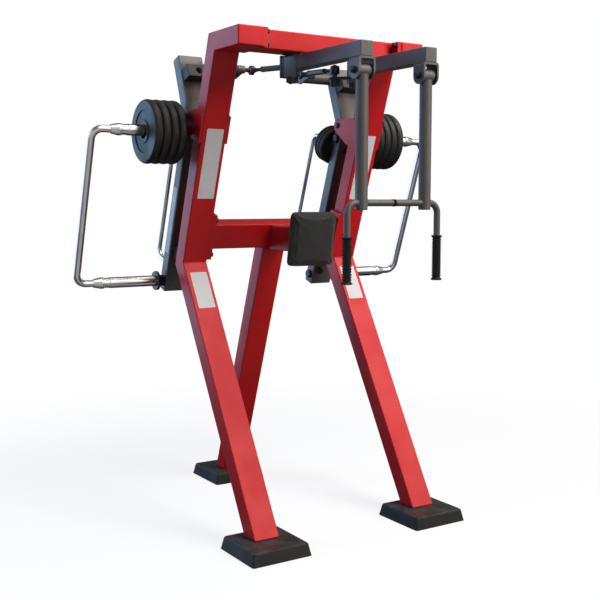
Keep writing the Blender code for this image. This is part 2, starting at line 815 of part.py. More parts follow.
def build_lever(name, side, parent):
    """The box-section lever with its stop block and the holes for what runs through it."""
    bm = bmesh.new()
    prism_mesh(bm, lever_outline(), LEVER_WIDE / 2.0)
    place = (side * POST_X, PIVOT_Y, PIVOT_Z)
    made = finish(bm, name, graphite_paint(), place, parent)
    add_bevel(made, 0.005)
    sunk = 0.002
    back_up = Vector((0.0, math.cos(POST_TILT), -math.sin(POST_TILT)))
    middle = on_lever_top(STOP_BLOCK_ALONG, -(LEVER_DEEP + STOP_BLOCK_DEEP - sunk) / 2.0)
    guide = bmesh.new()
    prism_mesh(
        guide,
        slab(middle, UP_LEVER, STOP_BLOCK_TALL, back_up, STOP_BLOCK_DEEP + sunk),
        STOP_BLOCK_WIDE / 2.0,
        side * POST_X,
    )
    boolean(made, finish(guide, name + "_block_guide", graphite_paint()), "UNION")
    pocket = on_lever_top(STOP_BLOCK_ALONG, -(LEVER_DEEP / 2.0 + STOP_BLOCK_DEEP))
    bore(made, (side * POST_X, *pocket), back_up, STOP_BLOCK_BORE_R, 0.08)
    across = (1.0, 0.0, 0.0)
    wide = 2.0 * TUBE_WIDE
    bore(made, (side * POST_X, PIVOT_Y, PIVOT_Z), across, PIVOT_BOLT_R + PLAY, wide, 20)
    bore(made, (side * POST_X, *on_lever_top(CROSS_TUBE_ALONG)), across, CROSS_TUBE_R + BORE_PLAY, wide, 24)
    for down in (SIDE_RAIL_TOP, SIDE_RAIL_LOW):
        bore(made, (side * POST_X, *on_lever(down)), across, SIDE_RAIL_R + BORE_PLAY, wide)
    for down in (REAR_RAIL_TOP, REAR_RAIL_LOW):
        bore(made, (side * REAR_RAIL_X, *on_lever(down)), BACK_POST, REAR_RAIL_R + BORE_PLAY, wide)


def build_pivot_bolt(name, side, parent):
    """The bolt through both brackets and the lever."""
    reach = TUBE_WIDE / 2.0 + BRACKET_THICK + GAP
    head = reach + PIVOT_HEAD_THICK
    points = [
        (PIVOT_HEAD_R - 0.002, -head),
        (PIVOT_HEAD_R, -head + 0.002),
        (PIVOT_HEAD_R, -reach),
        (PIVOT_BOLT_R, -reach),
        (PIVOT_BOLT_R, reach),
        (PIVOT_HEAD_R, reach),
        (PIVOT_HEAD_R, head - 0.002),
        (PIVOT_HEAD_R - 0.002, head),
    ]
    bm = bmesh.new()
    turned_solid(bm, points, 16, Vector((1.0, 0.0, 0.0)))
    place = (side * POST_X, PIVOT_Y, PIVOT_Z)
    finish(bm, name, black_steel(), place, parent, 35.0)


def crank_pin_centre():
    """The (y, z) centre of the pin that the link drives."""
    y, z = on_lever_top(CROSS_TUBE_ALONG)
    return y - CRANK_REACH, z + CRANK_RISE


def crank_outline():
    """Side view of the crank: round the cross tube, narrowing to its pin."""
    run = Vector((-CRANK_REACH, CRANK_RISE))
    face = math.degrees(math.atan2(run.y, run.x))
    spread = math.degrees(math.acos((CRANK_TUBE_END_R - CRANK_PIN_END_R) / run.length))
    outline = arc((0.0, 0.0), CRANK_TUBE_END_R, face + spread, face + 360.0 - spread, 12)
    outline += arc(tuple(run), CRANK_PIN_END_R, face - spread, face + spread, 6)
    return outline


def build_cross_tube(name, side, parent):
    """The tube through the top of the lever, its crank plate, and the crank's pin."""
    tube_y, tube_z = on_lever_top(CROSS_TUBE_ALONG)
    outer = POST_X + LEVER_WIDE / 2.0
    along = Vector((side, 0.0, 0.0))
    place = (0.0, tube_y, tube_z)
    bm = bmesh.new()
    turned_solid(bm, [(CROSS_TUBE_R, CRANK_X), (CROSS_TUBE_R, outer)], 24, along)
    made = finish(bm, name, graphite_paint(), place, parent, 35.0)
    guide = bmesh.new()
    prism_mesh(guide, crank_outline(), CRANK_THICK / 2.0, side * CRANK_X)
    boolean(made, finish(guide, name + "_crank_guide", graphite_paint(), place, parent), "UNION")
    ball_in = BALL_X - BALL_WIDE / 2.0 - PLAY
    ball_out = BALL_X + BALL_WIDE / 2.0 + PLAY
    plate_in = CRANK_X - CRANK_THICK / 2.0
    pin = [
        (CRANK_HEAD_R, ball_in - CRANK_HEAD_THICK),
        (CRANK_HEAD_R, ball_in),
        (CRANK_PIN_R, ball_in),
        (CRANK_PIN_R, ball_out),
        (CRANK_SPACER_R, ball_out),
        (CRANK_SPACER_R, plate_in - CRANK_HUB_IN),
        (CRANK_HUB_R, plate_in - CRANK_HUB_IN),
        (CRANK_HUB_R, plate_in + CRANK_THICK + CRANK_HUB_OUT),
    ]
    guide = bmesh.new()
    turned_solid(guide, pin, 14, along, Vector((0.0, -CRANK_REACH, CRANK_RISE)))
    boolean(made, finish(guide, name + "_pin_guide", black_steel(), place, parent), "UNION")


def build_link_ball(name, side, parent):
    """The pierced ball on the crank's pin."""
    half = BALL_WIDE / 2.0
    edge = math.degrees(math.asin(half / BALL_R))
    bore_r = CRANK_PIN_R + GAP
    outer = []
    for x, radius in arc((0.0, 0.0), BALL_R, 90.0 + edge, 90.0 - edge, 6):
        outer.append((radius, x))
    profile = [(bore_r, -half), *outer, (bore_r, half)]
    bm = bmesh.new()
    turn_mesh(bm, profile, 14)
    place = (side * BALL_X, *crank_pin_centre())
    finish(bm, name, chrome(), place, parent, 35.0)


def hub_top_z():
    """The top of the arm's hub, just below the washer under the beam."""
    return HEIGHT - TUBE_DEEP - GAP - ARM_WASHER_THICK - PLAY


def horn_top_z():
    """The horn's upper face, let a little into the underside of the arm."""
    return ARM_TOP_Z - ARM_SIDE + 0.001


def front_eye_z():
    """The middle of the link's front eye, on its stub above the horn."""
    return horn_top_z() + FRONT_EYE_STUB + FRONT_EYE_TALL / 2.0


def build_link(name, side, parent):
    """A turnbuckle with a rod end at each end, from the crank to the horn."""
    rear = Vector((side * BALL_X, *crank_pin_centre()))
    front = Vector((side * HORN_BOLT_X, HORN_BOLT_Y, front_eye_z()))
    run = front - rear
    length = run.length
    run.normalize()
    seat_r = BALL_R + GAP
    half = EYE_WIDE / 2.0
    lip = math.degrees(math.asin(half / seat_r))
    profile = [(radius, x) for x, radius in arc((0.0, 0.0), seat_r, 90.0 + lip, 90.0 - lip, 4)]
    profile += [(EYE_R, half), (EYE_R, -half)]
    bm = bmesh.new()
    turn_mesh(bm, profile, 16)
    made = finish(bm, name, graphite_paint(), rear, parent, 35.0)
    middle = (EYE_R + length - FRONT_EYE_R) / 2.0
    body = TURNBUCKLE_LONG / 2.0
    steps = [
        (SHANK_R, EYE_R - SHANK_SUNK),
        (SHANK_R, middle - body - LOCK_NUT_LONG),
        (LOCK_NUT_R, middle - body - LOCK_NUT_LONG),
        (LOCK_NUT_R, middle - body),
        (TURNBUCKLE_R, middle - body),
        (TURNBUCKLE_R, middle + body),
        (LOCK_NUT_R, middle + body),
        (LOCK_NUT_R, middle + body + LOCK_NUT_LONG),
        (SHANK_R, middle + body + LOCK_NUT_LONG),
        (SHANK_R, length - FRONT_EYE_R + SHANK_SUNK),
    ]
    guide = bmesh.new()
    turned_solid(guide, steps, 9, run)
    boolean(made, finish(guide, name + "_rod_guide", graphite_paint(), rear, parent), "UNION")
    guide = bmesh.new()
    tall = FRONT_EYE_TALL / 2.0
    stub_low = horn_top_z() + HORN_CLEAR - front_eye_z()
    eye = [
        (HORN_BOLT_R, stub_low),
        (HORN_BOLT_R, -tall),
        (FRONT_EYE_R, -tall),
        (FRONT_EYE_R, tall - 0.003),
        (FRONT_EYE_R - 0.003, tall),
    ]
    turned_solid(guide, eye, 16, Vector((0.0, 0.0, 1.0)), front - rear)
    boolean(made, finish(guide, name + "_front_guide", graphite_paint(), rear, parent), "UNION")


def rail_disc_steps():
    """Radii of a side rail where it leaves the lever, by distance from the middle plane."""
    face = POST_X + LEVER_WIDE / 2.0 + GAP
    return [
        (face, SIDE_RAIL_R),
        (face, SLEEVE_R + 0.001),
        (RAIL_DISC_X, SLEEVE_R + 0.001),
        (RAIL_DISC_X, RAIL_DISC_R),
        (RAIL_DISC_X + RAIL_DISC_THICK, RAIL_DISC_R),
        (RAIL_DISC_X + RAIL_DISC_THICK, SLEEVE_R),
        (SIDE_COLLAR_X - 0.030, SLEEVE_R),
        (SIDE_COLLAR_X - 0.027, SLEEVE_R - 0.002),
        (SIDE_COLLAR_X, SLEEVE_R - 0.002),
        (SIDE_COLLAR_X, SLEEVE_R + SIDE_COLLAR_STEP),
        (SIDE_COLLAR_X + SIDE_COLLAR_FLAT, SLEEVE_R + SIDE_COLLAR_STEP),
        (SIDE_COLLAR_X + SIDE_COLLAR_LONG, SIDE_RAIL_R + 0.0025),
        (SIDE_COLLAR_X + SIDE_COLLAR_LONG, SIDE_RAIL_R),
    ]


def rail_end_steps():
    """Radii of a side rail inside the lever and at its capped inner end."""
    face = POST_X - LEVER_WIDE / 2.0 - GAP
    return [
        (face - RAIL_CAP_LONG, RAIL_CAP_R - 0.003),
        (face - RAIL_CAP_LONG + 0.003, RAIL_CAP_R),
        (face, RAIL_CAP_R),
        (face, SIDE_RAIL_R),
    ]


def build_side_rail(name, side, parent):
    """The C-shaped rail beside the lever: two sleeves joined by a bent tube."""
    top_y, top_z = on_lever(SIDE_RAIL_TOP)
    low_y, low_z = on_lever(SIDE_RAIL_LOW)
    stations = []
    for x, radius in rail_end_steps() + rail_disc_steps():
        stations.append((Vector((side * x, top_y, top_z)), radius))
    corners = [
        (side * (SIDE_COLLAR_X + SIDE_COLLAR_LONG), top_y, top_z),
        (side * SIDE_RAIL_X, top_y, top_z),
        (side * SIDE_RAIL_X, low_y, low_z),
        (side * (SIDE_COLLAR_X + SIDE_COLLAR_LONG), low_y, low_z),
    ]
    for point in corner_path(corners, SIDE_RAIL_BEND, 5)[1:-1]:
        stations.append((point, SIDE_RAIL_R))
    for x, radius in reversed(rail_end_steps() + rail_disc_steps()):
        stations.append((Vector((side * x, low_y, low_z)), radius))
    origin = Vector((0.0, PIVOT_Y, PIVOT_Z))
    bm = bmesh.new()
    tube_mesh(bm, [(point - origin, radius) for point, radius in stations], 11)
    finish(bm, name, chrome(), origin, parent, 40.0)


def build_rear_rail(name, side, parent):
    """The thinner rail behind the lever, with the sleeve for the small plates."""
    half = LEVER_DEEP / 2.0
    end = [
        (-half - GAP - 0.012, REAR_RAIL_R + 0.005),
        (-half - GAP - 0.010, REAR_RAIL_R + 0.007),
        (-half - GAP, REAR_RAIL_R + 0.007),
        (-half - GAP, REAR_RAIL_R),
        (half + GAP, REAR_RAIL_R),
    ]
    sleeve = [
        (half + GAP, SLEEVE_R),
        (half + REAR_SLEEVE_LONG, SLEEVE_R),
        (half + REAR_SLEEVE_LONG + 0.014, REAR_RAIL_R),
    ]
    socket = [
        (half + GAP, REAR_RAIL_R + 0.007),
        (half + 0.020, REAR_RAIL_R + 0.007),
        (half + 0.024, REAR_RAIL_R),
    ]
    x = side * REAR_RAIL_X
    stations = []
    for back, radius in end + sleeve:
        stations.append((Vector((x, *on_lever(REAR_RAIL_TOP, back))), radius))
    corners = [
        (x, *on_lever(REAR_RAIL_TOP, half + REAR_SLEEVE_LONG + 0.014)),
        (x, *on_lever(REAR_RAIL_TOP, REAR_RAIL_REACH)),
        (x, *on_lever(REAR_RAIL_LOW, REAR_RAIL_REACH)),
        (x, *on_lever(REAR_RAIL_LOW, half + 0.024)),
    ]
    for point in corner_path(corners, REAR_RAIL_BEND, 5)[1:-1]:
        stations.append((point, REAR_RAIL_R))
    for back, radius in reversed(end + socket):
        stations.append((Vector((x, *on_lever(REAR_RAIL_LOW, back))), radius))
    origin = Vector((0.0, PIVOT_Y, PIVOT_Z))
    bm = bmesh.new()
    tube_mesh(bm, [(point - origin, radius) for point, radius in stations], 10)
    finish(bm, name, chrome(), origin, parent, 40.0)


def build_bumper(name, side, parent):
    """The rubber block on the lever's front face that lands on the post."""
    pivot = Vector((0.0, PIVOT_Y, PIVOT_Z))
    post = Vector((0.0, post_front_y(PIVOT_Z), PIVOT_Z))
    space = (pivot - post).dot(BACK_POST) - TUBE_DEEP - LEVER_DEEP / 2.0
    deep = space - 2.0 * GAP
    centre = on_lever(BUMPER_ALONG, -LEVER_DEEP / 2.0 - space / 2.0)
    outline = slab((0.0, 0.0), UP_POST, BUMPER_TALL, BACK_POST, deep)
    bm = bmesh.new()
    prism_mesh(bm, outline, BUMPER_WIDE / 2.0)
    made = finish(bm, name, black_rubber(), (side * POST_X, *centre), parent)
    add_bevel(made, 0.004)


def plate_profile(radius, thick, hub_r, web):
    """Half section of a weight plate: soft rim, and a recessed web round the hub."""
    half = thick / 2.0
    soft = half * 0.45
    return [
        (PLATE_BORE_R, -half),
        (radius - soft, -half),
        (radius, -half + soft),
        (radius, half - soft),
        (radius - soft, half),
        (radius * 0.68, half - web),
        (hub_r + 0.004, half - web),
        (hub_r, half),
        (PLATE_BORE_R, half),
    ]


def plate_mesh(name, profile, segments, axis):
    """One plate mesh, shared by all plates of its kind."""
    bm = bmesh.new()
    turn_mesh(bm, profile, segments, axis)
    bmesh.ops.recalc_face_normals(bm, faces=bm.faces)
    mesh = bpy.data.meshes.new(name)
    bm.to_mesh(mesh)
    bm.free()
    mesh.materials.append(black_rubber())
    return mesh


def plate_hang(segments):
    """How far a plate hangs below its sleeve's axis, its bore resting on the sleeve."""
    return PLATE_BORE_R * math.cos(math.pi / segments) - SLEEVE_R - GAP


def build_side_plates(word, side, mesh, parent):
    """The stack on the upper side sleeve."""
    y, z = on_lever(SIDE_RAIL_TOP)
    z -= plate_hang(SIDE_PLATE_SIDES)
    start = RAIL_DISC_X + RAIL_DISC_THICK + GAP
    for k in range(SIDE_PLATE_COUNT):
        x = start + (SIDE_PLATE_THICK + GAP) * k + SIDE_PLATE_THICK / 2.0
        link(mesh, f"side_plate_{word}_{k + 1}", black_rubber(), (side * x, y, z), parent, 35.0)


def build_rear_plates(word, side, mesh, parent):
    """The stack on the sleeve behind the lever."""
    down = REAR_RAIL_TOP + plate_hang(REAR_PLATE_SIDES)
    start = LEVER_DEEP / 2.0 + REAR_PLATE_OFF
    for k in range(REAR_PLATE_COUNT):
        back = start + (REAR_PLATE_THICK + GAP) * k + REAR_PLATE_THICK / 2.0
        place = (side * REAR_RAIL_X, *on_lever(down, back))
        link(mesh, f"rear_plate_{word}_{k + 1}", black_rubber(), place, parent, 35.0)


def horn_outline(side):
    """Plan view of the horn, from the hub's axis: round at its bolt and at the hub."""
    pivot = Vector((0.0, 0.0))
    bolt = Vector((side * (HORN_BOLT_X - ARM_PIVOT_X), HORN_BOLT_Y - TOP_BEAM_Y))
    run = bolt - pivot
    face = math.degrees(math.atan2(run.y, run.x))
    spread = math.degrees(math.acos((HORN_ROOT_R - HORN_TIP_R) / run.length))
    tip = arc(bolt, HORN_TIP_R, face + spread, face - spread, 8)
    root = arc(pivot, HORN_ROOT_R, face - spread, face - 360.0 + spread, 8)
    return tip + root


def build_arm(name, side, parent):
    """The swinging arm: box beam, pivot hub, outer cheek with its lip, and horn."""
    place = Vector((side * ARM_PIVOT_X, TOP_BEAM_Y, HUB_LOW_Z))
    outer = side * (ARM_X + ARM_SIDE / 2.0)
    inner = side * (ARM_X - ARM_SIDE / 2.0)
    proud = outer + side * CHEEK_PROUD
    cheek_low = HUB_LOW_Z + CHEEK_PROUD
    cheek_top = ARM_TOP_Z - CHEEK_PROUD
    bm = bmesh.new()
    place_box(bm, (inner, ARM_TIP_Y, ARM_TOP_Z - ARM_SIDE), (outer, ARM_REAR_Y, ARM_TOP_Z), place)
    made = finish(bm, name, graphite_paint(), place, parent)
    add_bevel(made, 0.004)
    cheek = ((proud, CHEEK_FRONT_Y, cheek_low), (proud - side * CHEEK_THICK, CHEEK_REAR_Y, cheek_top))
    lip = (
        (proud, CHEEK_REAR_Y - CHEEK_LIP_THICK, cheek_low),
        (proud - side * CHEEK_LIP_WIDE, CHEEK_REAR_Y, cheek_top),
    )
    guide = bmesh.new()
    place_box(guide, *cheek, place)
    boolean(made, finish(guide, name + "_cheek_guide", graphite_paint(), place, parent), "UNION")
    guide = bmesh.new()
    place_box(guide, *lip, place)
    boolean(made, finish(guide, name + "_lip_guide", graphite_paint(), place, parent), "UNION")
    upright = Vector((0.0, 0.0, 1.0))
    tall = hub_top_z() - HUB_LOW_Z
    guide = bmesh.new()
    turned_solid(guide, [(HUB_R, 0.0), (HUB_R, tall)], 24, upright)
    boolean(made, finish(guide, name + "_hub_guide", graphite_paint(), place, parent), "UNION")
    horn_low = horn_top_z() - HORN_THICK - HUB_LOW_Z
    guide = bmesh.new()
    ring = [guide.verts.new((x, y, horn_low)) for x, y in horn_outline(side)]
    moved = bmesh.ops.extrude_face_region(guide, geom=[guide.faces.new(ring)])
    tops = [item for item in moved["geom"] if isinstance(item, bmesh.types.BMVert)]
    bmesh.ops.translate(guide, vec=(0.0, 0.0, HORN_THICK), verts=tops)
    boolean(made, finish(guide, name + "_horn_guide", graphite_paint(), place, parent), "UNION")
    guide = bmesh.new()
    boss = [(HORN_BOSS_R, horn_low - HORN_BOSS_LONG), (HORN_BOSS_R, horn_low + HORN_THICK / 2.0)]
    centre = Vector((side * (HORN_BOLT_X - ARM_PIVOT_X), HORN_BOLT_Y - TOP_BEAM_Y, 0.0))
    turned_solid(guide, boss, 20, upright, centre)
    boolean(made, finish(guide, name + "_boss_guide", graphite_paint(), place, parent), "UNION")
    guide = bmesh.new()
    turned_solid(guide, [(ARM_PIN_R + PLAY, -tall), (ARM_PIN_R + PLAY, 2.0 * tall)], 24, upright)
    boolean(made, finish(guide, name + "_pin_guide", graphite_paint(), place, parent), "DIFFERENCE")


def build_arm_pin(name, side, parent):
    """The upright pivot under the top crossbeam, with the collar that carries the arm."""
    beam_low = HEIGHT - TUBE_DEEP - GAP
    collar_top = HUB_LOW_Z - PLAY
    collar_low = collar_top - ARM_COLLAR_LONG
    nut_low = collar_low - ARM_NUT_LONG
    points = [
        (ARM_NUT_R, nut_low),
        (ARM_NUT_R, collar_low),
        (ARM_COLLAR_R - 0.002, collar_low),
        (ARM_COLLAR_R, collar_low + 0.002),
        (ARM_COLLAR_R, collar_top),
        (ARM_PIN_R, collar_top),
        (ARM_PIN_R, beam_low - ARM_WASHER_THICK),
        (ARM_WASHER_R, beam_low - ARM_WASHER_THICK),
        (ARM_WASHER_R, beam_low),
    ]
    bm = bmesh.new()
    turned_solid(bm, points, 16, Vector((0.0, 0.0, 1.0)))
    finish(bm, name, black_steel(), (side * ARM_PIVOT_X, TOP_BEAM_Y, 0.0), parent, 35.0)


def build_clevis(name, side, parent):
    """The bent strap under the arm's tip, an inverted U."""
    top = ARM_TOP_Z - ARM_SIDE - GAP - CLEVIS_PIN_Z
    half = CLEVIS_LONG / 2.0
    outline = [(half, top), (-half, top), *arc((0.0, 0.0), CLEVIS_NOSE, 180.0, 360.0, 12)]
    bm = bmesh.new()
    prism_mesh(bm, outline, CLEVIS_WIDE / 2.0)
    folds = [edge for edge in bm.edges if is_fold(edge, top)]
    bmesh.ops.bevel(bm, geom=folds, offset=CLEVIS_BEND, segments=3, profile=0.5, affect="EDGES")
    place = (side * ARM_X, CLEVIS_PIN_Y, CLEVIS_PIN_Z)
    made = finish(bm, name, graphite_paint(), place, parent)
    guide = bmesh.new()
    inner = CLEVIS_WIDE / 2.0 - CLEVIS_SHEET
    box_mesh(guide, (-inner, -0.1, -0.1), (inner, 0.1, top - CLEVIS_SHEET))
    boolean(made, finish(guide, name + "_channel_guide", graphite_paint(), place, parent), "DIFFERENCE")
    guide = bmesh.new()
    hole = [(CLEVIS_PIN_R + GAP, -CLEVIS_WIDE), (CLEVIS_PIN_R + GAP, CLEVIS_WIDE)]
    turned_solid(guide, hole, 20, Vector((1.0, 0.0, 0.0)))
    boolean(made, finish(guide, name + "_pin_guide", graphite_paint(), place, parent), "DIFFERENCE")


def is_fold(edge, top):
    """True for the two upper edges of the clevis that run along Y."""
    one, other = (vert.co for vert in edge.verts)
    level = abs(one.z - top) < GAP and abs(other.z - top) < GAP
    return level and abs(one.x - other.x) < GAP


def build_clevis_pin(name, side, parent):
    """The pin that the hanging handle swings on."""
    reach = CLEVIS_WIDE / 2.0 + GAP
    head = reach + CLEVIS_HEAD_THICK
    points = [
        (CLEVIS_HEAD_R - 0.003, -head),
        (CLEVIS_HEAD_R, -head + 0.003),
        (CLEVIS_HEAD_R, -reach),
        (CLEVIS_PIN_R, -reach),
        (CLEVIS_PIN_R, reach),
        (CLEVIS_HEAD_R, reach),
        (CLEVIS_HEAD_R, head - 0.003),
        (CLEVIS_HEAD_R - 0.003, head),
    ]
    bm = bmesh.new()
    turned_solid(bm, points, 12, Vector((1.0, 0.0, 0.0)))
    place = (side * ARM_X, CLEVIS_PIN_Y, CLEVIS_PIN_Z)
    finish(bm, name, black_steel(), place, parent, 35.0)


def build_hanger(name, side, parent):
    """The bushing on the clevis pin with the long tube below it."""
    half = CLEVIS_WIDE / 2.0 - CLEVIS_SHEET - PLAY
    pin_r = CLEVIS_PIN_R + GAP
    profile = [
        (pin_r, -half),
        (HANGER_BUSH_R - 0.003, -half),
        (HANGER_BUSH_R, -half + 0.003),
        (HANGER_BUSH_R, half - 0.003),
        (HANGER_BUSH_R - 0.003, half),
        (pin_r, half),
    ]
    bm = bmesh.new()
    turn_mesh(bm, profile, 16)
    place = (side * ARM_X, CLEVIS_PIN_Y, CLEVIS_PIN_Z)
    made = finish(bm, name, graphite_paint(), place, parent, 35.0)
    guide = bmesh.new()
    low = HANGER_LOW_Z - CLEVIS_PIN_Z
    points = [
        (HANGER_TUBE_R - 0.003, low),
        (HANGER_TUBE_R, low + 0.003),
        (HANGER_TUBE_R, -pin_r - 0.006),
    ]
    turned_solid(guide, points, 16, Vector((0.0, 0.0, 1.0)))
    boolean(made, finish(guide, name + "_tube_guide", graphite_paint(), place, parent), "UNION")
    guide = bmesh.new()
    hole = [(BAR_R + GAP, -0.1), (BAR_R + GAP, 0.1)]
    centre = Vector((0.0, 0.0, BAR_Z - CLEVIS_PIN_Z))
    turned_solid(guide, hole, 14, Vector((1.0, 0.0, 0.0)), centre)
    boolean(made, finish(guide, name + "_bar_guide", graphite_paint(), place, parent), "DIFFERENCE")


def build_handle_bar(name, side, parent):
    """The bar through the hanger: level, then bent down to the grip."""
    corners = [
        (side * BAR_INNER_X, CLEVIS_PIN_Y, BAR_Z),
        (side * BAR_OUTER_X, CLEVIS_PIN_Y, BAR_Z),
        (side * BAR_OUTER_X, CLEVIS_PIN_Y, BAR_LOW_Z),
    ]
    origin = Vector((side * ARM_X, CLEVIS_PIN_Y, CLEVIS_PIN_Z))
    route = corner_path(corners, BAR_BEND, 6)
    bm = bmesh.new()
    tube_mesh(bm, [(point - origin, BAR_R) for point in route], 14)
    finish(bm, name, graphite_paint(), origin, parent, 40.0)


def build_grip(name, side, parent):
    """The rubber grip on the bar's lower end, with a flange at each end."""
    inner = BAR_R + GRIP_WALL_PLAY
    tall = GRIP_LONG
    flange = GRIP_FLANGE_THICK
    points = [
        (inner, tall),
        (GRIP_FLANGE_R - 0.002, tall),
        (GRIP_FLANGE_R, tall - 0.002),
        (GRIP_FLANGE_R, tall - flange),
        (GRIP_R, tall - flange - 0.003),
        (GRIP_R, flange + 0.003),
        (GRIP_FLANGE_R, flange),
        (GRIP_FLANGE_R, 0.002),
        (GRIP_FLANGE_R - 0.002, 0.0),
        (inner, 0.0),
    ]
    bm = bmesh.new()
    turn_mesh(bm, points, 16, Vector((0.0, 0.0, 1.0)))
    place = (side * BAR_OUTER_X, CLEVIS_PIN_Y, BAR_LOW_Z - GRIP_WRAP)
    finish(bm, name, black_rubber(), place, parent, 35.0)


def build_side(word, side, base, meshes):
    """Everything of one side, under empties on its joint axes."""
    build_foot(f"foot_{word}", side * POST_X, foot_centre_y(), base)
    build_side_frame(f"side_frame_{word}", side, base)
    build_pivot_bolt(f"lever_pivot_bolt_{word}", side, base)
    build_arm_pin(f"arm_pin_{word}", side, base)

    arm_axis = empty(f"arm_axis_{word}", (side * ARM_PIVOT_X, TOP_BEAM_Y, HUB_LOW_Z), base)
    build_arm(f"arm_{word}", side, arm_axis)
    build_clevis(f"clevis_{word}", side, arm_axis)
    build_clevis_pin(f"clevis_pin_{word}", side, arm_axis)
    swing = (side * ARM_X, CLEVIS_PIN_Y, CLEVIS_PIN_Z)
    handle_axis = empty(f"handle_axis_{word}", swing, arm_axis)
    build_hanger(f"hanger_{word}", side, handle_axis)
    build_handle_bar(f"handle_bar_{word}", side, handle_axis)
    build_grip(f"grip_{word}", side, handle_axis)

    lever_axis = empty(f"lever_axis_{word}", (side * POST_X, PIVOT_Y, PIVOT_Z), base)
    build_lever(f"lever_{word}", side, lever_axis)
    build_cross_tube(f"cross_tube_{word}", side, lever_axis)
    build_bumper(f"bumper_{word}", side, lever_axis)
    build_side_rail(f"side_rail_{word}", side, lever_axis)
    build_rear_rail(f"rear_rail_{word}", side, lever_axis)
    build_link_ball(f"link_ball_{word}", side, lever_axis)
    build_link(f"link_{word}", side, lever_axis)
    build_side_plates(word, side, meshes[word], lever_axis)
    build_rear_plates(word, side, meshes["rear"], lever_axis)


def build_machine():
    """Builds every sub-part under one base empty."""
    clear_scene()
    base = empty("machine_base", (0.0, 0.0, 0.0))
    build_foot("foot_rear", 0.0, rear_foot_centre_y(), base)
    build_top_crossbeam(base)
    build_mid_crossbeam(base)
    build_rear_leg(base)
    build_pad_stub(base)
    build_pad_plate(base)
    build_torso_pad(base)
    side_profile = plate_profile(SIDE_PLATE_R, SIDE_PLATE_THICK, SIDE_PLATE_HUB_R, SIDE_PLATE_WEB)
    rear_profile = plate_profile(REAR_PLATE_R, REAR_PLATE_THICK, REAR_PLATE_HUB_R, REAR_PLATE_WEB)
    left = Vector((-1.0, 0.0, 0.0))
    meshes = {
        "left": plate_mesh("side_plate_left", side_profile, SIDE_PLATE_SIDES, left),
        "right": plate_mesh("side_plate_right", side_profile, SIDE_PLATE_SIDES, -left),
        "rear": plate_mesh("rear_plate", rear_profile, REAR_PLATE_SIDES, BACK_POST),
    }
    for word, side in SIDES.items():
        build_side(word, side, base, meshes)


build_machine()
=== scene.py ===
import math

import bmesh
import bpy
from mathutils import Matrix, Vector


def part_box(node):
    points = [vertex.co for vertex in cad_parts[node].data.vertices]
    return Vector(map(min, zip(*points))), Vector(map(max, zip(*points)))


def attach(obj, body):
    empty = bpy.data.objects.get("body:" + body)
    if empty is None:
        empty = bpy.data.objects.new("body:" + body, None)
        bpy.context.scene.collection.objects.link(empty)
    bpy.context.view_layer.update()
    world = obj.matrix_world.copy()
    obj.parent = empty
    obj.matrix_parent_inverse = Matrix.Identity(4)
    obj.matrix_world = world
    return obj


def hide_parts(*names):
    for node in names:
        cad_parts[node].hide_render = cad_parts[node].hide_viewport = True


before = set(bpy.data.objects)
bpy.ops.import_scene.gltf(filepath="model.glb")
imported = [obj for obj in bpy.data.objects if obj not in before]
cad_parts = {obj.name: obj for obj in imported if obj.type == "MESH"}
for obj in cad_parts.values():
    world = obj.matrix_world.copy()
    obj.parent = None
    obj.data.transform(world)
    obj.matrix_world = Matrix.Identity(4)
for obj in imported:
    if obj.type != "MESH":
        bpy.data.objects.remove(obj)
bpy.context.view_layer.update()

# Sizes repeated from the part, in metres. Y is given from the front face of the posts' heads.
HEAD_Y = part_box("top_crossbeam")[0].y - 0.005
HEIGHT = 2.15
TUBE_WIDE = 0.12
TUBE_DEEP = 0.08
POST_X = 0.4144
KNEE_Y = 0.527
KNEE_Z = 1.168
POST_TILT = math.radians(19.6)
LEG_TILT = math.radians(30.0)
FLANGE_X = 0.3441
FLANGE_THICK = 0.010
TOP_BEAM_Y = 0.105
MID_BEAM_Z = 1.2795
MID_BEAM_BACK = 0.009
PAD_WIDE = 0.242
PAD_TALL = 0.25
PAD_THICK = 0.034
PAD_CORNER = 0.024
PAD_TILT = math.radians(9.1)
PAD_FACE_Y = 0.1644
PAD_FACE_Z = 1.2733
PIVOT_Y = 0.4857
PIVOT_Z = 1.8157
LEVER_WIDE = 0.1188
LEVER_DEEP = 0.06
STOP_BLOCK_ALONG = 0.1886
STOP_BLOCK_TALL = 0.055
STOP_BLOCK_DEEP = 0.0565
STOP_BLOCK_WIDE = 0.108
CROSS_TUBE_ALONG = 0.24
CROSS_TUBE_R = 0.025
CRANK_X = 0.180
CRANK_THICK = 0.010
CRANK_REACH = 0.072
CRANK_RISE = 0.004
CRANK_TUBE_END_R = 0.031
CRANK_PIN_END_R = 0.013
CRANK_PIN_R = 0.006
BALL_X = 0.132
BALL_R = 0.0135
BALL_WIDE = 0.020
EYE_R = 0.0215
EYE_WIDE = 0.016
FRONT_EYE_R = 0.021
FRONT_EYE_TALL = 0.0355
FRONT_EYE_Z = 2.02825
HORN_BOLT_X = 0.110
HORN_BOLT_Y = 0.170
HORN_TOP_Z = 1.995
SHANK_R = 0.008
TURNBUCKLE_R = 0.0125
TURNBUCKLE_LONG = 0.130
LOCK_NUT_R = 0.0145
LOCK_NUT_LONG = 0.012
SLEEVE_R = 0.025
SIDE_RAIL_R = 0.016
SIDE_RAIL_TOP = 0.0667
SIDE_RAIL_LOW = 0.7872
SIDE_RAIL_X = 0.900
SIDE_RAIL_START_X = 0.350
SIDE_RAIL_BEND = 0.046
SIDE_COLLAR_X = 0.772
RAIL_DISC_X = 0.503
RAIL_DISC_R = 0.045
RAIL_DISC_THICK = 0.012
REAR_RAIL_X = 0.391
REAR_RAIL_R = 0.011
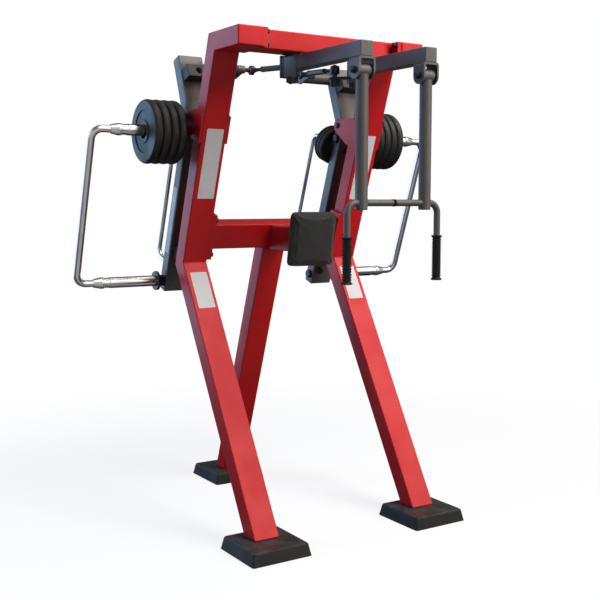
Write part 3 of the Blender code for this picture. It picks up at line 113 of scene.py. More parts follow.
REAR_RAIL_TOP = 0.1132
REAR_RAIL_LOW = 0.757
REAR_RAIL_REACH = 0.252
REAR_RAIL_BEND = 0.042
REAR_SLEEVE_LONG = 0.125
PLATE_BORE_R = 0.0305
SIDE_PLATE_R = 0.1367
SIDE_PLATE_THICK = 0.038
REAR_PLATE_R = 0.092
REAR_PLATE_THICK = 0.0235
ARM_X = 0.158
ARM_SIDE = 0.06
ARM_TOP_Z = 2.054
ARM_PIVOT_X = 0.1636
HUB_LOW_Z = 1.969
HUB_TOP_Z = 2.0645
CLEVIS_PIN_Y = -0.403
CLEVIS_PIN_Z = 1.944
CLEVIS_WIDE = 0.076
HANGER_BUSH_R = 0.027
HANGER_TUBE_R = 0.025
HANGER_LOW_Z = 1.411
BAR_R = 0.0135
BAR_Z = 1.439
BAR_INNER_X = 0.0035
BAR_OUTER_X = 0.2254
BAR_BEND = 0.042
BAR_LOW_Z = 1.1255
GRIP_R = 0.0172
GRIP_FLANGE_R = 0.0225
GRIP_TOP_Z = 1.3075
GRIP_LOW_Z = 1.1235
FOOT_SIDE = 0.28
FOOT_TOP_SIDE = 0.256
FOOT_HEIGHT = 0.055
GAP = 0.0003

# Places of welds, bolts and bare sheets, in metres.
TOP_WELD_Y = (0.045, 0.165)
TOP_WELD_Z = (2.075, 2.145)
BEAM_WELD_UP = 0.06
BEAM_WELD_BACK = (-0.034, 0.028)
FLANGE_WELD_UP = 0.107
FLANGE_WELD_BACK = (-0.034, 0.034)
CLEVIS_WELD_Y = (-0.4335, -0.372)
TOP_BOLT_Y = (0.022, 0.183)
TOP_BOLT_Z = (2.084, 2.136)
LOW_BOLT_UP = (-0.089, 0.079)
LOW_BOLT_BACK = (-0.0205, 0.0205)
STUB_HALF_WIDE = 0.040
STUB_RISE = 0.002
SHEET_X = 0.4121
SHEET_THICK = 0.0012
SHEET_EASE = 0.0003
POST_SHEET_Z = 1.607
LEG_SHEET_Z = 1.0473
RIVET_INSET = 0.006
STRIP_DOWN = 0.484

# How many rings and columns of studs a grip carries.
STUD_RINGS = 15
STUD_COLUMNS = 12

# How the cushion is blown up: frames, and the most that a point may move.
PUFF_FRAMES = 20
MOST_PUFF = 0.006

# The studio: the lamps' side, directions on the floor's level, and the soft glows that polished
# parts mirror, each as a direction, where it starts and where it is full, and its colour.
LAMP_SIZE = 2.6
TO_FRONT_LEFT = (-0.54, -0.84, 0.0)
TO_BACK_RIGHT = (0.58, 0.81, 0.0)
TO_BACK_LEFT = (-0.46, 0.887, 0.0)
SOFT_GLOWS = (
    ((0.50, -0.86, 0.06), 0.84, 0.985, (1.55, 1.47, 1.41)),
    ((0.38, -0.47, 0.80), 0.80, 0.985, (4.2, 4.0, 3.85)),
    ((-0.79, 0.44, 0.43), 0.84, 0.98, (0.75, 1.10, 1.70)),
)

SIDES = {"left": -1, "right": 1}
ALONG_X = Vector((1.0, 0.0, 0.0))
UPRIGHT = Vector((0.0, 0.0, 1.0))
UP_POST = Vector((0.0, -math.sin(POST_TILT), math.cos(POST_TILT)))
BACK_POST = Vector((0.0, math.cos(POST_TILT), math.sin(POST_TILT)))
UP_LEVER = Vector((0.0, math.sin(POST_TILT), math.cos(POST_TILT)))
BACK_TOP = Vector((0.0, math.cos(POST_TILT), -math.sin(POST_TILT)))
UP_LEG = Vector((0.0, math.sin(LEG_TILT), math.cos(LEG_TILT)))
UP_PAD = Vector((0.0, -math.sin(PAD_TILT), math.cos(PAD_TILT)))
BACK_PAD = Vector((0.0, math.cos(PAD_TILT), math.sin(PAD_TILT)))


def at(x, y, z):
    """A place measured from the posts' heads, in the frame's own coordinates."""
    return Vector((x, y + HEAD_Y, z))


def on_lever(x, down, back=0.0):
    """A place on the lever's lower section."""
    return at(x, PIVOT_Y, PIVOT_Z) - UP_POST * down + BACK_POST * back


def on_lever_top(x, up, back=0.0):
    """A place on the lever's upper section."""
    return at(x, PIVOT_Y, PIVOT_Z) + UP_LEVER * up + BACK_TOP * back


def post_front(x, z):
    """A place on the front face of an upper post."""
    return at(x, KNEE_Y - (z - KNEE_Z) * math.tan(POST_TILT), z)


def leg_front(x, z):
    """A place on the front face of a front leg."""
    return at(x, KNEE_Y - (KNEE_Z - z) * math.tan(LEG_TILT), z)


def mid_beam(x, back):
    """The middle of the lower crossbeam's section."""
    return post_front(x, MID_BEAM_Z) + BACK_POST * (TUBE_DEEP / 2.0 + back)


# ---------------------------------------------------------------- shader tools


def put(tree, kind, sockets=None, **settings):
    """Adds a node, sets its options, and fills its inputs with values or with other outputs."""
    node = tree.nodes.new(kind)
    for key, value in settings.items():
        setattr(node, key, value)
    for key, value in (sockets or {}).items():
        if isinstance(value, bpy.types.NodeSocket):
            tree.links.new(value, node.inputs[key])
        else:
            node.inputs[key].default_value = value
    return node


def maths(tree, operation, one, other=0.0, clamp=False):
    return put(tree, "ShaderNodeMath", {0: one, 1: other}, operation=operation, use_clamp=clamp).outputs[0]


def added_share(tree, base, part, share):
    """A base value plus a share of another one."""
    return put(tree, "ShaderNodeMath", {0: part, 1: share, 2: base}, operation="MULTIPLY_ADD").outputs[0]


def spread(tree, value, low, high, out_low=0.0, out_high=1.0):
    """Stretches a range of a value to another range, softly."""
    sockets = {"Value": value, "From Min": low, "From Max": high, "To Min": out_low, "To Max": out_high}
    return put(tree, "ShaderNodeMapRange", sockets, interpolation_type="SMOOTHSTEP").outputs["Result"]


def tint(tree, factor, one, other, blend="MIX"):
    """Mixes two colours; a plain colour is given without its alpha."""
    one, other = ((*part, 1.0) if isinstance(part, tuple) else part for part in (one, other))
    mix = put(tree, "ShaderNodeMix", {0: factor, 6: one, 7: other}, data_type="RGBA", blend_type=blend)
    return mix.outputs[2]


def layer(tree, tone, mask, share, colour):
    """Lays a share of a colour over a tone where a mask shows it."""
    return tint(tree, maths(tree, "MULTIPLY", mask, share), tone, colour)


def towards(tree, vector, aim):
    """How far a vector points in a direction."""
    return put(tree, "ShaderNodeVectorMath", {0: vector, 1: aim}, operation="DOT_PRODUCT").outputs["Value"]


def noise(tree, vector, scale, detail=3.0, rough=0.5):
    sockets = {"Vector": vector, "Scale": scale, "Detail": detail, "Roughness": rough}
    return put(tree, "ShaderNodeTexNoise", sockets).outputs[0]


def shader_group(name, inputs, outputs):
    """An empty node group with a vector input, named numbers and named outputs."""
    tree = bpy.data.node_groups.new(name, "ShaderNodeTree")
    tree.interface.new_socket(name="Vector", in_out="INPUT", socket_type="NodeSocketVector")
    for label, value in inputs.items():
        made = tree.interface.new_socket(name=label, in_out="INPUT", socket_type="NodeSocketFloat")
        made.default_value = value
    for label in outputs:
        tree.interface.new_socket(name=label, in_out="OUTPUT", socket_type="NodeSocketFloat")
    return tree, tree.nodes.new("NodeGroupInput").outputs, tree.nodes.new("NodeGroupOutput").inputs


def make_paint_skin():
    """Sprayed paint: a fine orange-peel height and a broad uneven tone."""
    tree, into, out = shader_group("paint skin", {"Peel": 420.0, "Cloud": 5.0}, ["Height", "Tone"])
    fine = noise(tree, into["Vector"], into["Peel"], 2.0)
    finer = noise(tree, into["Vector"], maths(tree, "MULTIPLY", into["Peel"], 2.7), 1.0)
    tree.links.new(added_share(tree, fine, finer, 0.4), out["Height"])
    cloud = noise(tree, into["Vector"], into["Cloud"], 5.0, 0.6)
    tree.links.new(spread(tree, cloud, 0.3, 0.7), out["Tone"])
    return tree


def make_painted_edge_highlight():
    """Painted highlight on corners: where the rounded normal leaves the true one, broken up by noise."""
    tree, into, out = shader_group("painted edge highlight", {"Width": 0.004}, ["Edge"])
    soft = put(tree, "ShaderNodeBevel", {"Radius": into["Width"]}, samples=4).outputs["Normal"]
    true = put(tree, "ShaderNodeNewGeometry").outputs["Normal"]
    turned_away = spread(tree, towards(tree, soft, true), 0.985, 0.86)
    patchy = spread(tree, noise(tree, into["Vector"], 38.0, 4.0, 0.65), 0.32, 0.68, 0.25, 1.0)
    tree.links.new(maths(tree, "MULTIPLY", turned_away, patchy), out["Edge"])
    return tree


def make_settled_dust():
    """Dust that lies on what faces up."""
    tree, into, out = shader_group("settled dust", {"Amount": 0.3}, ["Dust"])
    normal = put(tree, "ShaderNodeNewGeometry").outputs["Normal"]
    level = spread(tree, put(tree, "ShaderNodeSeparateXYZ", {0: normal}).outputs["Z"], 0.35, 0.98)
    patchy = spread(tree, noise(tree, into["Vector"], 17.0, 6.0, 0.7), 0.3, 0.75)
    settled = maths(tree, "MULTIPLY", level, patchy)
    tree.links.new(maths(tree, "MULTIPLY", settled, into["Amount"], clamp=True), out["Dust"])
    return tree


def make_hairlines():
    """Fine handling scratches in two directions."""
    tree, into, out = shader_group("hairlines", {"Amount": 1.0}, ["Scratch"])
    lines = []
    for stretch in ((18.0, 700.0, 260.0), (520.0, 30.0, 34.0)):
        scaled = put(tree, "ShaderNodeVectorMath", {0: into["Vector"], 1: stretch}, operation="MULTIPLY")
        lines.append(spread(tree, noise(tree, scaled.outputs[0], 1.0, 2.0), 0.66, 0.74))
    both = maths(tree, "MAXIMUM", lines[0], lines[1])
    tree.links.new(maths(tree, "MULTIPLY", both, into["Amount"], clamp=True), out["Scratch"])
    return tree


def make_pebble_grain():
    """Rounded cells with creases between them, for rubber and leather."""
    tree, into, out = shader_group("pebble grain", {"Cells": 500.0, "Crease": 0.25}, ["Height", "Crease"])
    wander = noise(tree, into["Vector"], 130.0, 2.0)
    moved = put(tree, "ShaderNodeVectorMath", {0: into["Vector"], 1: wander}, operation="ADD").outputs[0]
    sockets = {"Vector": moved, "Scale": into["Cells"]}
    cells = put(tree, "ShaderNodeTexVoronoi", sockets, feature="DISTANCE_TO_EDGE").outputs[0]
    raised = spread(tree, cells, 0.0, into["Crease"])
    bumps = noise(tree, into["Vector"], maths(tree, "MULTIPLY", into["Cells"], 2.3), 2.0)
    tree.links.new(added_share(tree, raised, bumps, 0.35), out["Height"])
    # The Crease output marks the creases that painted shade darkens.
    tree.links.new(maths(tree, "SUBTRACT", 1.0, raised), out["Crease"])
    return tree


PAINT_SKIN = make_paint_skin()
PAINTED_EDGE_HIGHLIGHT = make_painted_edge_highlight()
SETTLED_DUST = make_settled_dust()
HAIRLINES = make_hairlines()
PEBBLE_GRAIN = make_pebble_grain()


def place_group(tree, group, vector, **values):
    """Places a node group in a material, its sockets set by name."""
    node = put(tree, "ShaderNodeGroup", {"Vector": vector, **values}, node_tree=group)
    return node.outputs


def start_material(name, metallic, specular):
    """A material with its shader, and object coordinates for its patterns."""
    made = bpy.data.materials.new(name)
    made.use_nodes = True
    tree = made.node_tree
    shader = tree.nodes["Principled BSDF"]
    shader.inputs["Metallic"].default_value = metallic
    shader.inputs["Specular IOR Level"].default_value = specular
    return made, tree, shader, put(tree, "ShaderNodeTexCoord").outputs["Object"]


def end_material(tree, shader, tone, gloss, height, depth):
    """Gives a shader its colour, its roughness and its relief."""
    relief = put(tree, "ShaderNodeBump", {"Height": height, "Distance": depth, "Strength": 1.0}).outputs
    for label, value in (("Base Color", tone), ("Roughness", gloss), ("Normal", relief["Normal"])):
        tree.links.new(value, shader.inputs[label])


def painted(name, colour, shade, edge, rough, metallic=0.0, specular=0.5, peel=0.00004):
    """Sprayed paint on steel: uneven tone, a painted highlight on the corners, hairlines and a little dust.
    """
    made, tree, shader, where = start_material(name, metallic, specular)
    skin = place_group(tree, PAINT_SKIN, where)
    edge_highlight_mask = place_group(tree, PAINTED_EDGE_HIGHLIGHT, where)["Edge"]
    lines = place_group(tree, HAIRLINES, where, Amount=0.6)["Scratch"]
    dusty = place_group(tree, SETTLED_DUST, where, Amount=0.25)["Dust"]
    # The edge colour is a painted highlight, laid lighter on the corners.
    tone = layer(tree, tint(tree, skin["Tone"], colour, shade), edge_highlight_mask, 0.5, edge)
    tone = layer(tree, tone, dusty, 0.5, (0.23, 0.21, 0.19))
    gloss = spread(tree, skin["Tone"], 0.0, 1.0, rough - 0.04, rough + 0.05)
    gloss = maths(tree, "ADD", gloss, maths(tree, "MULTIPLY", lines, 0.10))
    gloss = maths(tree, "ADD", gloss, maths(tree, "MULTIPLY", dusty, 0.30), clamp=True)
    end_material(tree, shader, tone, gloss, skin["Height"], peel)
    return made


def make_chrome():
    """Polished tube: faint smudges, hairlines and a slight waviness."""
    made, tree, shader, where = start_material("chrome plating", 1.0, 0.5)
    skin = place_group(tree, PAINT_SKIN, where, Peel=60.0, Cloud=11.0)
    lines = place_group(tree, HAIRLINES, where, Amount=1.0)["Scratch"]
    tone = tint(tree, skin["Tone"], (0.80, 0.78, 0.765), (0.68, 0.665, 0.655))
    gloss = spread(tree, skin["Tone"], 0.0, 1.0, 0.17, 0.21)
    gloss = maths(tree, "ADD", gloss, maths(tree, "MULTIPLY", lines, 0.05))
    end_material(tree, shader, tone, gloss, skin["Height"], 0.000002)
    return made


def make_rubber(name, colour, mottle_and_highlight_tone, rough, cells, depth, specular=0.35):
    """Moulded rubber: pebbled skin with painted shade in its creases, a chalky bloom, painted highlights on
    its corners.
    """
    made, tree, shader, where = start_material(name, 0.0, specular)
    grain = place_group(tree, PEBBLE_GRAIN, where, Cells=cells)
    skin = place_group(tree, PAINT_SKIN, where, Cloud=9.0)
    edge_highlight_mask = place_group(tree, PAINTED_EDGE_HIGHLIGHT, where, Width=0.003)["Edge"]
    dusty = place_group(tree, SETTLED_DUST, where, Amount=0.6)["Dust"]
    tone = tint(tree, skin["Tone"], colour, mottle_and_highlight_tone)
    # Painted shade: the creases between the cells are darker.
    tone = layer(tree, tone, grain["Crease"], 0.35, tuple(part * 0.5 for part in colour))
    # Painted highlight: the corners are lighter; the second tone also gives the random mottling.
    tone = layer(tree, tone, edge_highlight_mask, 0.35, tuple(part * 2.2 for part in mottle_and_highlight_tone))
    tone = layer(tree, tone, dusty, 0.35, (0.20, 0.185, 0.17))
    gloss = spread(tree, skin["Tone"], 0.0, 1.0, rough - 0.06, rough + 0.08)
    gloss = maths(tree, "ADD", gloss, maths(tree, "MULTIPLY", dusty, 0.2), clamp=True)
    end_material(tree, shader, tone, gloss, grain["Height"], depth)
    return made


def make_pad_cover():
    """Dark coated upholstery: fine leather cells with painted shade in their creases, painted highlights at
    the edges, a soft sheen.
    """
    made, tree, shader, where = start_material("pad cover", 0.0, 0.32)
    shader.inputs["Sheen Weight"].default_value = 0.12
    shader.inputs["Sheen Roughness"].default_value = 0.5
    grain = place_group(tree, PEBBLE_GRAIN, where, Cells=620.0, Crease=0.18)
    skin = place_group(tree, PAINT_SKIN, where, Cloud=14.0)
    edge_highlight_mask = place_group(tree, PAINTED_EDGE_HIGHLIGHT, where, Width=0.008)["Edge"]
    tone = tint(tree, skin["Tone"], (0.024, 0.0215, 0.0195), (0.018, 0.0163, 0.015))
    # Painted shade: the creases between the leather cells are darker.
    tone = layer(tree, tone, grain["Crease"], 0.5, (0.008, 0.0075, 0.007))
    # Painted highlight: the edges are lighter.
    tone = layer(tree, tone, edge_highlight_mask, 0.3, (0.085, 0.078, 0.070))
    gloss = spread(tree, skin["Tone"], 0.0, 1.0, 0.46, 0.58)
    end_material(tree, shader, tone, gloss, grain["Height"], 0.00022)
    return made


# Each paint's third colour is the painted highlight on its corners.
RED = painted(
    "red paint", (0.50, 0.0062, 0.0088), (0.44, 0.0050, 0.0074), (0.60, 0.035, 0.036), 0.37, specular=0.44)
GRAPHITE = painted(
    "graphite paint", (0.106, 0.098, 0.091), (0.087, 0.081, 0.076), (0.20, 0.19, 0.18), 0.36, 0.22, 0.44)
# Black steel for the bolts, links and fittings; it also serves as painted shade under the arms.
BLACK_STEEL_AND_PAINTED_SHADE = painted(
    "black steel and painted shade", (0.012, 0.0115, 0.011), (0.008, 0.008, 0.008), (0.07, 0.066, 0.062), 0.34,
    specular=0.42, peel=0.00002)
BARE_STEEL = painted(
    "bare plate", (0.64, 0.64, 0.645), (0.56, 0.56, 0.57), (0.76, 0.76, 0.77), 0.55,
    specular=0.3, peel=0.00001)
CHROME = make_chrome()
PLATE_RUBBER = make_rubber(
    "plate rubber", (0.0095, 0.0088, 0.0084), (0.014, 0.013, 0.0123), 0.44, 900.0, 0.00004, 0.40)
FOOT_RUBBER = make_rubber(
    "foot rubber", (0.014, 0.0127, 0.0115), (0.021, 0.019, 0.0175), 0.48, 420.0, 0.00014, 0.28)
STOP_RUBBER = make_rubber(
    "stop rubber", (0.030, 0.0275, 0.025), (0.038, 0.035, 0.032), 0.46, 700.0, 0.00004, 0.30)
GRIP_RUBBER = make_rubber(
    "grip rubber", (0.0055, 0.0052, 0.0049), (0.0085, 0.008, 0.0076), 0.52, 1400.0, 0.00006, 0.24)
PAD_COVER = make_pad_cover()
THREAD = make_rubber("thread", (0.030, 0.028, 0.026), (0.042, 0.040, 0.037), 0.6, 2600.0, 0.00003)


# ---------------------------------------------------------------- mesh tools


def shown(name, data):
    """A new object in the scene."""
    made = bpy.data.objects.new(name, data)
    bpy.context.scene.collection.objects.link(made)
    return made


def arc(centre, radius, start, end, steps):
    """Points of an arc in a plane, angles in degrees."""
    angles = [math.radians(start + (end - start) * k / steps) for k in range(steps + 1)]
    return [(centre[0] + radius * math.cos(a), centre[1] + radius * math.sin(a)) for a in angles]


def eased(points, radius, steps=4, closed=False):
    """An outline with its corners turned to small arcs."""
    points = [Vector(point) for point in points]
    count = len(points)
    route = []
    for k, corner in enumerate(points):
        before = points[k - 1] - corner
        after = points[(k + 1) % count] - corner
        sharp = closed or k not in (0, count - 1)
        if not sharp or before.length < 1e-6 or after.length < 1e-6:
            route.append(tuple(corner))
            continue
        half = before.angle(after) / 2.0
        if half > math.radians(88.0) or half < math.radians(2.0):
            route.append(tuple(corner))
            continue
        reach = min(radius / math.tan(half), before.length * 0.45, after.length * 0.45)
        start = corner + before.normalized() * reach
        end = corner + after.normalized() * reach
        for step in range(steps + 1):
            t = step / steps
            route.append(tuple(start * (1.0 - t) ** 2 + corner * (2.0 * t * (1.0 - t)) + end * t ** 2))
    return route


def soft_rectangle(half_wide, half_tall, corner):
    """A flat outline round a rectangle, its corners rounded."""
    flat = [(a * half_wide, b * half_tall) for a, b in ((-1, -1), (1, -1), (1, 1), (-1, 1))]
    return eased(flat, corner, 4, True)


def bridged(bm, rings, capped=True):
    """Faces between rings of points, with a cap on the first and on the last."""
    rings = [[bm.verts.new(point) for point in ring] for ring in rings]
    for here, there in zip(rings, rings[1:]):
        for k in range(len(here)):
            after = (k + 1) % len(here)
            bm.faces.new((here[k], here[after], there[after], there[k]))
    if capped:
        bm.faces.new(list(reversed(rings[0])))
        bm.faces.new(rings[-1])


def turned(bm, profile, centre, axis, segments=48, pierced=False):
    """Revolves (radius, distance along the axis) points; a pierced body's profile is closed."""
    turn = Vector(axis).to_track_quat("Z", "Y").to_matrix()
    rings = []
    for step in range(segments):
        angle = 2.0 * math.pi * step / segments
        spoke = Vector((math.cos(angle), math.sin(angle), 0.0))
        rings.append([bm.verts.new(centre + turn @ (spoke * r + UPRIGHT * s)) for r, s in profile])
    last = len(profile) if pierced else len(profile) - 1
    for step in range(segments):
        here = rings[step]
        there = rings[(step + 1) % segments]
        for k in range(last):
            after = (k + 1) % len(profile)
            bm.faces.new((here[k], here[after], there[after], there[k]))
    if not pierced:
        bm.faces.new([ring[0] for ring in reversed(rings)])
        bm.faces.new([ring[-1] for ring in rings])


def two_headed(head, reach, radius, steps):
    """The profile of a bolt with the same head at both ends."""
    half = eased([(r, reach + s) for r, s in head], radius, steps)
    return [(r, -s) for r, s in reversed(half)] + half


def corner_path(points, bend, steps=18):
    """A route through the points, each inner corner turned to an arc."""
    route = [points[0]]
    for k in range(1, len(points) - 1):
        corner = points[k]
        before = (points[k - 1] - corner).normalized()
        after = (points[k + 1] - corner).normalized()
        half = before.angle(after) / 2.0
        reach = bend / math.tan(half)
        middle = corner + (before + after).normalized() * (bend / math.sin(half))
        start = corner + before * reach
        spin = (start - middle).cross(corner + after * reach - middle).normalized()
        for step in range(steps + 1):
            turn = Matrix.Rotation((math.pi - 2.0 * half) * step / steps, 3, spin)
            route.append(middle + turn @ (start - middle))
    route.append(points[-1])
    return route


def swept(bm, route, radius, segments=40):
    """A round bar of one radius along a flat route that has a bend."""
    normal = Vector((0.0, 0.0, 0.0))
    for k in range(1, len(route) - 1):
        normal += (route[k] - route[k - 1]).cross(route[k + 1] - route[k])
    normal.normalize()
    rings = []
    for k, point in enumerate(route):
        ahead = (route[min(k + 1, len(route) - 1)] - route[max(k - 1, 0)]).normalized()
        across = normal.cross(ahead).normalized()
        angles = [2.0 * math.pi * step / segments for step in range(segments)]
        rings.append([point + (across * math.cos(a) + normal * math.sin(a)) * radius for a in angles])
    bridged(bm, rings)


def plate_solid(bm, outline, thick, ease):
    """A flat plate between an outline and its copy moved by a vector, its edges eased."""
    low = [bm.verts.new(point) for point in outline]
    moved = bmesh.ops.extrude_face_region(bm, geom=[bm.faces.new(low)])
    tops = [item for item in moved["geom"] if isinstance(item, bmesh.types.BMVert)]
    bmesh.ops.translate(bm, vec=thick, verts=tops)
    own = set(low) | set(tops)
    sharp = [e for e in bm.edges if set(e.verts) <= own and e.calc_face_angle(0.0) > math.radians(50.0)]
    bmesh.ops.bevel(bm, geom=sharp, offset=ease, segments=2, profile=0.5, affect="EDGES")


def settled_mesh(made):
    """The mesh of an object with its modifiers applied."""
    graph = bpy.context.evaluated_depsgraph_get()
    return bpy.data.meshes.new_from_object(made.evaluated_get(graph), depsgraph=graph)


def solid_mesh(bm, name, angle):
    """A finished mesh: outward faces, sharp at its corners, its flat faces shaded flat."""
    bmesh.ops.remove_doubles(bm, verts=bm.verts, dist=0.000002)
    bmesh.ops.recalc_face_normals(bm, faces=bm.faces)
    raw = bpy.data.meshes.new(name + "_raw")
    bm.to_mesh(raw)
    bm.free()
    raw.shade_smooth()
    raw.set_sharp_from_angle(angle=math.radians(angle))
    helper = shown(name + "_helper", raw)
    helper.modifiers.new("even shading", "WEIGHTED_NORMAL").keep_sharp = True
    mesh = settled_mesh(helper)
    bpy.data.objects.remove(helper)
    mesh.name = name
    return mesh


def piece(name, mesh, look, body, *nodes, slot_name=None):
    """Shows a mesh as one piece that rides on a body and stands for its CAD nodes."""
    mesh.materials.clear()
    mesh.materials.append(look)
    made = shown(name, mesh)
    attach(made, body)
    if nodes:
        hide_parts(*nodes)
    return made


def finished(bm, name, look, body, *nodes, angle=40.0, slot_name=None):
    """Ends a piece that was built face by face."""
    return piece(name, solid_mesh(bm, name, angle), look, body, *nodes, slot_name=slot_name)


def lathed(name, look, body, nodes, profile, centre, axis, segments=48, pierced=False, angle=40.0):
    """A piece made of one revolved profile."""
    bm = bmesh.new()
    turned(bm, profile, centre, axis, segments, pierced)
    return finished(bm, name, look, body, *nodes, angle=angle)


def refined(name, node, look, body):
    """A clean copy of a CAD node as a piece: merged, and its flat faces joined."""
    bm = bmesh.new()
    bm.from_mesh(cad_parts[node].data)
    bmesh.ops.remove_doubles(bm, verts=bm.verts, dist=0.00001)
    bmesh.ops.dissolve_limit(bm, angle_limit=math.radians(0.5), verts=bm.verts, edges=bm.edges)
    bmesh.ops.triangulate(bm, faces=[face for face in bm.faces if len(face.verts) > 4])
    return finished(bm, name, look, body, node, angle=38.0)


def second_look(made, look, chosen):
    """Gives the faces that a rule picks another finish."""
    made.data.materials.append(look)
    for face in made.data.polygons:
        if chosen(face.center):
            face.material_index = 1


# ---------------------------------------------------------------- geometry node trees


def geometry_tree(name, inputs):
    """A tree that takes a mesh, named values and a material, and gives a mesh."""
    tree = bpy.data.node_groups.new(name, "GeometryNodeTree")
    tree.interface.new_socket(name="Geometry", in_out="INPUT", socket_type="NodeSocketGeometry")
    for label, kind in {**inputs, "Material": "Material"}.items():
        tree.interface.new_socket(name=label, in_out="INPUT", socket_type="NodeSocket" + kind)
    tree.interface.new_socket(name="Geometry", in_out="OUTPUT", socket_type="NodeSocketGeometry")
    return tree, tree.nodes.new("NodeGroupInput").outputs, tree.nodes.new("NodeGroupOutput").inputs


def close_tree(tree, into, out, points, shape, facing, scale=(1.0, 1.0, 1.0)):
    """Ends a tree: its shape on every point, turned to a vector, as real smooth geometry."""
    turn = put(tree, "FunctionNodeAlignRotationToVector", {"Vector": facing}, axis="Z").outputs[0]
    sockets = {"Points": points, "Instance": shape, "Rotation": turn, "Scale": scale}
    placed = put(tree, "GeometryNodeInstanceOnPoints", sockets).outputs[0]
    real = put(tree, "GeometryNodeRealizeInstances", {0: placed}).outputs[0]
    smooth = put(tree, "GeometryNodeSetShadeSmooth", {"Geometry": real}).outputs[0]
    dressed = put(tree, "GeometryNodeSetMaterial", {"Geometry": smooth, "Material": into["Material"]})
    tree.links.new(dressed.outputs[0], out["Geometry"])
    return tree


def small_ball(tree, radius):
    return put(tree, "GeometryNodeMeshUVSphere", {"Segments": 8, "Rings": 5, "Radius": radius}).outputs[0]


def make_bead_tree():
    """Overlapping beads along a line: a weld's ripples, or the stitches of a seam."""
    inputs = {"Radius": "Float", "Pitch": "Float", "Stretch": "Vector"}
    tree, into, out = geometry_tree("beads on a line", inputs)
    line = put(tree, "GeometryNodeMeshToCurve", {0: into["Geometry"]}).outputs[0]
    even = put(tree, "GeometryNodeResampleCurve", {"Curve": line, "Length": into["Pitch"]}, mode="LENGTH")
    along = put(tree, "GeometryNodeInputTangent").outputs[0]
    bead = small_ball(tree, into["Radius"])
    return close_tree(tree, into, out, even.outputs[0], bead, along, into["Stretch"])


def make_bolt_tree():
    """Domed bolt heads, each on its washer, at the points of a mesh."""
    inputs = {"Axis": "Vector", "Radius": "Float", "Washer": "Float", "Thick": "Float"}
    tree, into, out = geometry_tree("domed bolts", inputs)
    washer = {"Vertices": 32, "Radius": into["Washer"], "Depth": into["Thick"]}
    skirt = {"Vertices": 32, "Radius": into["Radius"], "Depth": into["Radius"]}
    dome = {"Segments": 32, "Rings": 16, "Radius": into["Radius"]}
    joined = tree.nodes.new("GeometryNodeJoinGeometry")
    for kind, sockets, measure, share, scale in (
        ("GeometryNodeMeshCylinder", washer, "Thick", 0.5, (1.0, 1.0, 1.0)),
        ("GeometryNodeMeshCylinder", skirt, "Radius", 0.5, (1.0, 1.0, 1.0)),
        ("GeometryNodeMeshUVSphere", dome, "Radius", 1.0, (1.0, 1.0, 0.38)),
    ):
        shape = put(tree, kind, sockets).outputs[0]
        height = maths(tree, "MULTIPLY", into[measure], share)
        rise = put(tree, "ShaderNodeCombineXYZ", {"Z": height}).outputs[0]
        stood = put(tree, "GeometryNodeTransform", {"Geometry": shape, "Translation": rise, "Scale": scale})
        tree.links.new(stood.outputs[0], joined.inputs[0])
    return close_tree(tree, into, out, into["Geometry"], joined.outputs[0], into["Axis"])


def make_stud_tree():
    """Low studs that stand out from every corner of a mesh."""
    tree, into, out = geometry_tree("studs on a skin", {"Radius": "Float", "Stretch": "Vector"})
    outwards = put(tree, "GeometryNodeInputNormal").outputs[0]
    stud = small_ball(tree, into["Radius"])
    return close_tree(tree, into, out, into["Geometry"], stud, outwards, into["Stretch"])


BEADS = make_bead_tree()
BOLTS = make_bolt_tree()
STUDS = make_stud_tree()


def grown(name, tree, base, look, **values):
    """The plain mesh that a tree makes from a base mesh."""
    helper = shown(name + "_helper", base)
    step = helper.modifiers.new("grow", "NODES")
    step.node_group = tree
    values["Material"] = look
    for item in tree.interface.items_tree:
        if item.in_out == "INPUT" and item.name in values:
            step[item.identifier] = values[item.name]
    mesh = settled_mesh(helper)
    helper.modifiers.remove(step)
    bpy.data.objects.remove(helper)
    mesh.name = name
    mesh.set_sharp_from_angle(angle=math.radians(40.0))
    return mesh


def line_mesh(lines):
    """Loose lines, each a list of points; a line that ends where it starts is closed."""
    mesh = bpy.data.meshes.new("lines")
    points, edges = [], []
    for line in lines:
        start = len(points)
        closed = (line[0] - line[-1]).length < 1e-7
        used = line[:-1] if closed else line
        points += [tuple(point) for point in used]
        edges += [(start + k, start + k + 1) for k in range(len(used) - 1)]
        if closed:
            edges.append((start + len(used) - 1, start))
    mesh.from_pydata(points, edges, [])
    return mesh


def circle(centre, axis, radius):
    """A closed line round an axis."""
    turn = Vector(axis).to_track_quat("Z", "Y").to_matrix()
    route = [centre + turn @ Vector((x, y, 0.0)) for x, y in arc((0.0, 0.0), radius, 0.0, 360.0, 48)]
    route[-1] = route[0].copy()
    return route


def four_sided(middle, one, half_one, other, half_other):
    """A closed line round a rectangle."""
    corners = [(-1, -1), (1, -1), (1, 1), (-1, 1), (-1, -1)]
    return [middle + one * (a * half_one) + other * (b * half_other) for a, b in corners]


def welds(name, lines, look, body, radius):
    mesh = grown(
        name, BEADS, line_mesh(lines), look, Radius=radius, Pitch=radius * 0.95, Stretch=(1.0, 1.0, 0.62))
    piece(name, mesh, look, body)


# ---------------------------------------------------------------- red frame


def bare_sheet(bm, middle, along, up, out, half_wide, half_tall, corner):
    """Adds a thin sheet with rounded corners to a mesh."""
    flat = soft_rectangle(half_wide, half_tall, corner)
    plate_solid(bm, [middle + along * a + up * b for a, b in flat], out * SHEET_THICK, SHEET_EASE)


